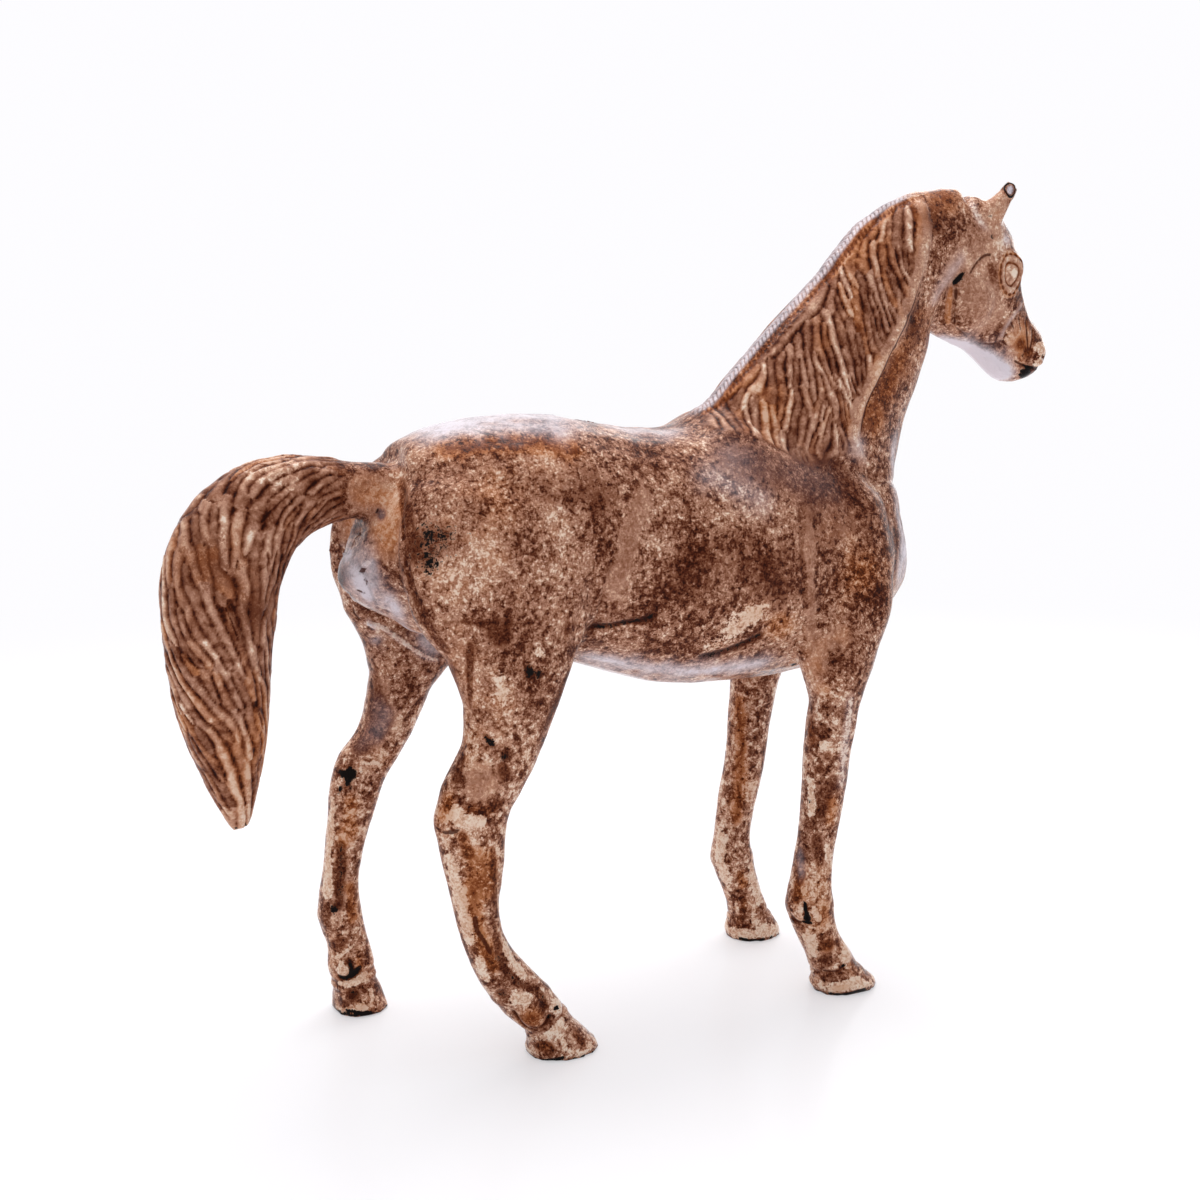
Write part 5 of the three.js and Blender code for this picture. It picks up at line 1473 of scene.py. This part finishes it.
@functools.cache
def pin_metal():
    """Worn bare aluminium of the pins and dowels."""
    finish = bpy.context.scene.horse_patina
    material, output, start = new_material("pin_metal")
    place = start.node("ShaderNodeTexCoord", None, None, "Object")
    wear = noise(start, place, 900, 4, 0.6)
    grime = noise(start, place, 260, 3, 0.6)
    colour = ((grime - 0.5) * 2.0 + 0.4).step(0.0, 1.0).mix(finish.umber[:], finish.pin[:])
    bump = start.node("ShaderNodeBump", None, {"Strength": 0.2, "Distance": 0.0002, "Height": wear}, "Normal")
    inputs = {"Base Color": colour, "Roughness": 0.3 + wear * 0.25, "Metallic": 0.9, "Normal": bump}
    shader = start.node("ShaderNodeBsdfPrincipled", None, inputs)
    material.node_tree.links.new(shader.socket, output.inputs["Surface"])
    return material


# Operators


def dress(skin, rough):
    """Roughens a skin and gives it every fold, knob and blotch of the body that reaches it."""
    skin.lift += rough * lumps(skin.points, size=9, seed=1) + 0.35 * rough * lumps(skin.points, size=3, seed=2)
    skin.dab(BODY_FORMS)
    skin.draw(BODY_STROKES)
    skin.dab(BODY_SPOTS)
    skin.draw(HEAD_STROKES)
    skin.dab(HEAD_SPOTS)
    skin.draw(ONE_SIDE_STROKES, sides=(1,))
    skin.dab(ONE_SIDE_SPOTS, sides=(1,))
    fill_pins(skin)
    skin.marks["marble"] += smoothstep(MARBLE_TOP, MARBLE_FULL, skin.points[:, 2])
    skin.marks["warm"] += 0.2 * skin.marks["marble"]


def fill_pins(skin):
    """Lifts the skin a little over the ends of the pins, which are filled and painted over."""
    for node in PIN_NODES:
        low, high = (np.array(corner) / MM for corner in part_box(node))
        centre = (low + high) / 2
        side = math.copysign(1, centre[1])
        end = np.array((centre[0], side * max(abs(low[1]), abs(high[1])), centre[2]))
        skin.dab([Spot(end, *PIN_FILL)], sides=(1,))


class HORSE_OT_trunk(Operator):
    """Models the two trunk shells: folds, seams, blotches and the foot of the mane"""

    bl_idname = "horse.trunk"
    bl_label = "Trunk shells"

    def execute(self, context):
        form = context.scene.horse_form
        for side in ("right", "left"):
            skin = skin_of(f"trunk_{side}_shell")
            dress(skin, rough=0.2)
            comb_mane(skin, form)
            skin.finish(f"trunk_{side}_casting", f"trunk_{side}_shell", patina())
        return {"FINISHED"}


class HORSE_OT_neck_and_head(Operator):
    """Models the neck and head: combed mane, notched crest, ridge of the neck and face"""

    bl_idname = "horse.neck_and_head"
    bl_label = "Neck and head"

    def execute(self, context):
        form = context.scene.horse_form
        skin = skin_of("neck_and_head", fine_head, fine_ear, smooth=1.0)
        dress(skin, rough=0.12)
        comb_mane(skin, form)
        notch_crest(skin, form)
        for side in (-1, 1):
            model_eye(skin, side)
            hollow_ear(skin, side)
        skin.finish("neck_and_head_casting", "neck_and_head", patina())
        return {"FINISHED"}


def model_eye(skin, side):
    """An eyeball between ringed lids, with a painted highlight on the ball."""
    at = EYE * (1, -side, 1)
    chosen = skin.near(at[None], 12)
    away = (skin.points[chosen] - at) / EYE_LIDS
    reach = np.linalg.norm(away, axis=1) + 0.07 * lumps(skin.points[chosen], size=3, seed=8)

    def ring(place, width):
        """1 on a ring about the eye, fading within its width."""
        return np.exp(-(((reach - place) / width) ** 2))

    beads = 0.5 + 0.5 * np.cos(16 * np.arctan2(away[:, 2], away[:, 0]))
    ball = smoothstep(0.5, 0.1, reach)
    # Painted highlight: a pale glint on the eyeball
    painted_glint = smoothstep(0.32, 0.12, np.linalg.norm(away - (0.16, 0, 0.06), axis=1))
    skin.lift[chosen] += 0.7 * ball + 0.55 * ring(0.78, 0.14) + 0.3 * ring(1.08, 0.08)
    skin.lift[chosen] -= 0.6 * ring(0.55, 0.08) + 0.5 * ring(0.97, 0.06) * (0.4 + 0.6 * beads)
    skin.marks["bare"][chosen] += smoothstep(1.2, 0.9, reach) * 0.8
    skin.marks["pale"][chosen] += 2.0 * painted_glint + 0.5 * ring(0.72, 0.1) + 0.4 * ring(0.4, 0.08)
    skin.marks["warm"][chosen] += 0.9 * ring(1.03, 0.12) + 0.5 * ring(0.55, 0.1)
    skin.marks["dark"][chosen] += 1.2 * ring(0.97, 0.07) * (0.3 + 0.9 * beads) + 0.7 * ring(0.56, 0.07)


def round_end(skin, chosen, at, axis):
    """Makes the end of an ear round across its axis."""
    away = skin.points[chosen] - at
    along = away @ axis
    across = away - along[:, None] * axis
    radius = np.linalg.norm(across, axis=1) + 1e-9
    wall = (np.abs(along) < 3) & (radius > 1.6)
    if not wall.any():
        return
    level = np.polynomial.polynomial.polyfit(along[wall], radius[wall], 1)
    wanted = np.polynomial.polynomial.polyval(along, level)
    amount = smoothstep(5, 2.5, np.linalg.norm(away, axis=1)) * smoothstep(0.5, 0.9, radius / wanted)
    skin.points[chosen] += across * (amount * np.clip(wanted / radius - 1, -0.3, 0.3))[:, None]


def hollow_ear(skin, side):
    """The open end of an ear: a dark rim round a hollow that is painted pale with a painted reflection."""
    at, axis = EAR_ENDS[side]
    chosen = skin.near(at[None], 6)
    round_end(skin, chosen, at, axis)
    reach = np.linalg.norm((skin.points[chosen] - at) / EAR_RIM, axis=1)
    rim = np.exp(-(((reach - 1.0) / 0.17) ** 2))
    hollow = smoothstep(0.8, 0.4, reach)
    skin.lift[chosen] += 0.25 * rim - 0.9 * hollow
    skin.marks["black"][chosen] += 1.2 * rim
    # Painted reflection: the hollow is painted pale
    skin.marks["haze"][chosen] += 1.6 * hollow


class HORSE_OT_legs(Operator):
    """Models the four legs: strips of the patina, fetlocks, coronets and hooves"""

    bl_idname = "horse.legs"
    bl_label = "Legs"

    def execute(self, context):
        for name, (foot, rings) in LEG_RINGS.items():
            skin = skin_of(name, fine_foot)
            dress(skin, rough=0.18)
            skin.band(foot, rings)
            if name in LEG_TONES:
                mark, amount = LEG_TONES[name]
                skin.marks[mark] += amount
            skin.finish(f"{name}_casting", name, patina())
        return {"FINISHED"}


class HORSE_OT_tail(Operator):
    """Models the tail: strands that follow its arch and fan out to the tip"""

    bl_idname = "horse.tail"
    bl_label = "Tail"

    def execute(self, context):
        skin = skin_of("tail")
        dress(skin, rough=0.1)
        skin.dab(TAIL_SPOTS)
        comb_tail(skin, context.scene.horse_form)
        skin.marks["marble"][:] = 0
        skin.finish("tail_casting", "tail", patina())
        return {"FINISHED"}


class HORSE_OT_fasteners(Operator):
    """Gives the pins and dowels their bare metal"""

    bl_idname = "horse.fasteners"
    bl_label = "Pins and dowels"

    def execute(self, context):
        for name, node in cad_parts.items():
            if "_pin" in name or "_dowel" in name:
                node.data.materials.clear()
                node.data.materials.append(pin_metal())
        return {"FINISHED"}


class HORSE_OT_studio(Operator):
    """Sets up the floor, the white surround, the soft lights and the camera"""

    bl_idname = "horse.studio"
    bl_label = "Studio"

    def execute(self, context):
        studio = context.scene.horse_studio
        bm = bmesh.new()
        bmesh.ops.create_circle(bm, cap_ends=True, segments=96, radius=FLOOR_RADIUS)
        bmesh.ops.translate(bm, vec=(0, 0, -FLOOR_DROP), verts=bm.verts)
        mesh = bpy.data.meshes.new("floor")
        bm.to_mesh(mesh)
        bm.free()
        floor = bpy.data.objects.new("floor", mesh)
        context.scene.collection.objects.link(floor)
        mesh.materials.append(floor_material(studio))
        surround(studio)
        for name, (place, size, power) in LAMPS.items():
            lamp = bpy.data.lights.new(name, "AREA")
            lamp.energy = power
            lamp.shape = "DISK"
            lamp.size = size
            holder = bpy.data.objects.new(name, lamp)
            holder.location = place
            aim = LAMP_AIM - holder.location
            holder.rotation_euler = aim.to_track_quat("-Z", "Y").to_euler()
            context.scene.collection.objects.link(holder)
        view = Vector((math.sin(studio.turn), math.cos(studio.turn), 0)) * math.cos(studio.pitch)
        view.z = -math.sin(studio.pitch)
        lens = bpy.data.cameras.new("camera")
        lens.lens = 50
        lens.sensor_width = 36
        lens.clip_start = 0.01
        camera = bpy.data.objects.new("camera", lens)
        camera.location = studio.eye
        camera.rotation_euler = view.to_track_quat("-Z", "Y").to_euler()
        context.scene.collection.objects.link(camera)
        context.scene.camera = camera
        context.scene.view_settings.view_transform = "Standard"
        return {"FINISHED"}


def ray_kind(start, kind):
    """1 for one kind of ray."""
    return start.node("ShaderNodeLightPath", None, None, f"Is {kind} Ray")


def floor_material(studio):
    """Pale glossy floor that fades to the white surround."""
    material, output, start = new_material("studio_floor")
    place = start.node("ShaderNodeTexCoord", None, None, "Object")
    away = start.node("ShaderNodeVectorMath", {"operation": "LENGTH"}, {0: place}, "Value")
    inputs = {"Base Color": studio.floor[:], "Roughness": 0.22, "IOR": 1.18}
    shader = start.node("ShaderNodeBsdfPrincipled", None, inputs)
    white = start.node("ShaderNodeEmission", None, {"Color": BACKDROP, "Strength": 1.0})
    seen = start.math("MAXIMUM", ray_kind(start, "Camera"), ray_kind(start, "Glossy"))
    share = (0.4 + 0.6 * away.step(0.3, 1.0)) * seen
    mixed = start.node("ShaderNodeMixShader", None, {0: share, 1: shader, 2: white})
    material.node_tree.links.new(mixed.socket, output.inputs["Surface"])
    return material


def surround(studio):
    """White surround: full white where it is seen, and shaded on the side where the room is."""
    world = bpy.data.worlds.new("surround")
    bpy.context.scene.world = world
    world.use_nodes = True
    world.node_tree.nodes.clear()
    start = Socket(world.node_tree)
    way = start.node("ShaderNodeTexCoord", None, None, "Generated")
    lit = start.node("ShaderNodeVectorMath", {"operation": "DOT_PRODUCT"}, {0: way, 1: BRIGHT_SIDE}, "Value")
    lit = lit.step(-0.5, 0.7)
    glossy = start.math("MAXIMUM", ray_kind(start, "Glossy"), ray_kind(start, "Transmission"))
    soft = studio.surround * (0.4 + 0.6 * lit)
    shown = 0.3 + 0.7 * lit
    strength = soft + (shown - soft) * glossy
    strength = start.math("MAXIMUM", strength, ray_kind(start, "Camera"))
    light = start.node("ShaderNodeBackground", None, {"Color": BACKDROP, "Strength": strength})
    output = world.node_tree.nodes.new("ShaderNodeOutputWorld")
    world.node_tree.links.new(light.socket, output.inputs["Surface"])


class HORSE_PT_panel(Panel):
    """Lists the steps and sizes of the horse"""

    bl_label = "Horse figurine"
    bl_idname = "HORSE_PT_panel"
    bl_space_type = "VIEW_3D"
    bl_region_type = "UI"
    bl_category = "Horse"

    def draw(self, context):
        for group in (context.scene.horse_form, context.scene.horse_patina, context.scene.horse_studio):
            box = self.layout.box()
            for name in group.__annotations__:
                box.prop(group, name)
        for operator in OPERATORS:
            self.layout.operator(operator.bl_idname)


OPERATORS = (
    HORSE_OT_trunk,
    HORSE_OT_neck_and_head,
    HORSE_OT_legs,
    HORSE_OT_tail,
    HORSE_OT_fasteners,
    HORSE_OT_studio,
)
CLASSES = (HorseForm, HorsePatina, HorseStudio, *OPERATORS, HORSE_PT_panel)


def register():
    """Registers the classes and the scene's settings."""
    for cls in CLASSES:
        bpy.utils.register_class(cls)
    bpy.types.Scene.horse_form = PointerProperty(type=HorseForm)
    bpy.types.Scene.horse_patina = PointerProperty(type=HorsePatina)
    bpy.types.Scene.horse_studio = PointerProperty(type=HorseStudio)


def unregister():
    """Removes the classes and the scene's settings."""
    del bpy.types.Scene.horse_studio
    del bpy.types.Scene.horse_patina
    del bpy.types.Scene.horse_form
    for cls in reversed(CLASSES):
        bpy.utils.unregister_class(cls)


def main():
    """Makes every piece and the studio."""
    register()
    bpy.ops.horse.trunk()
    bpy.ops.horse.neck_and_head()
    bpy.ops.horse.legs()
    bpy.ops.horse.tail()
    bpy.ops.horse.fasteners()
    bpy.ops.horse.studio()


if __name__ == "__main__":
    main()
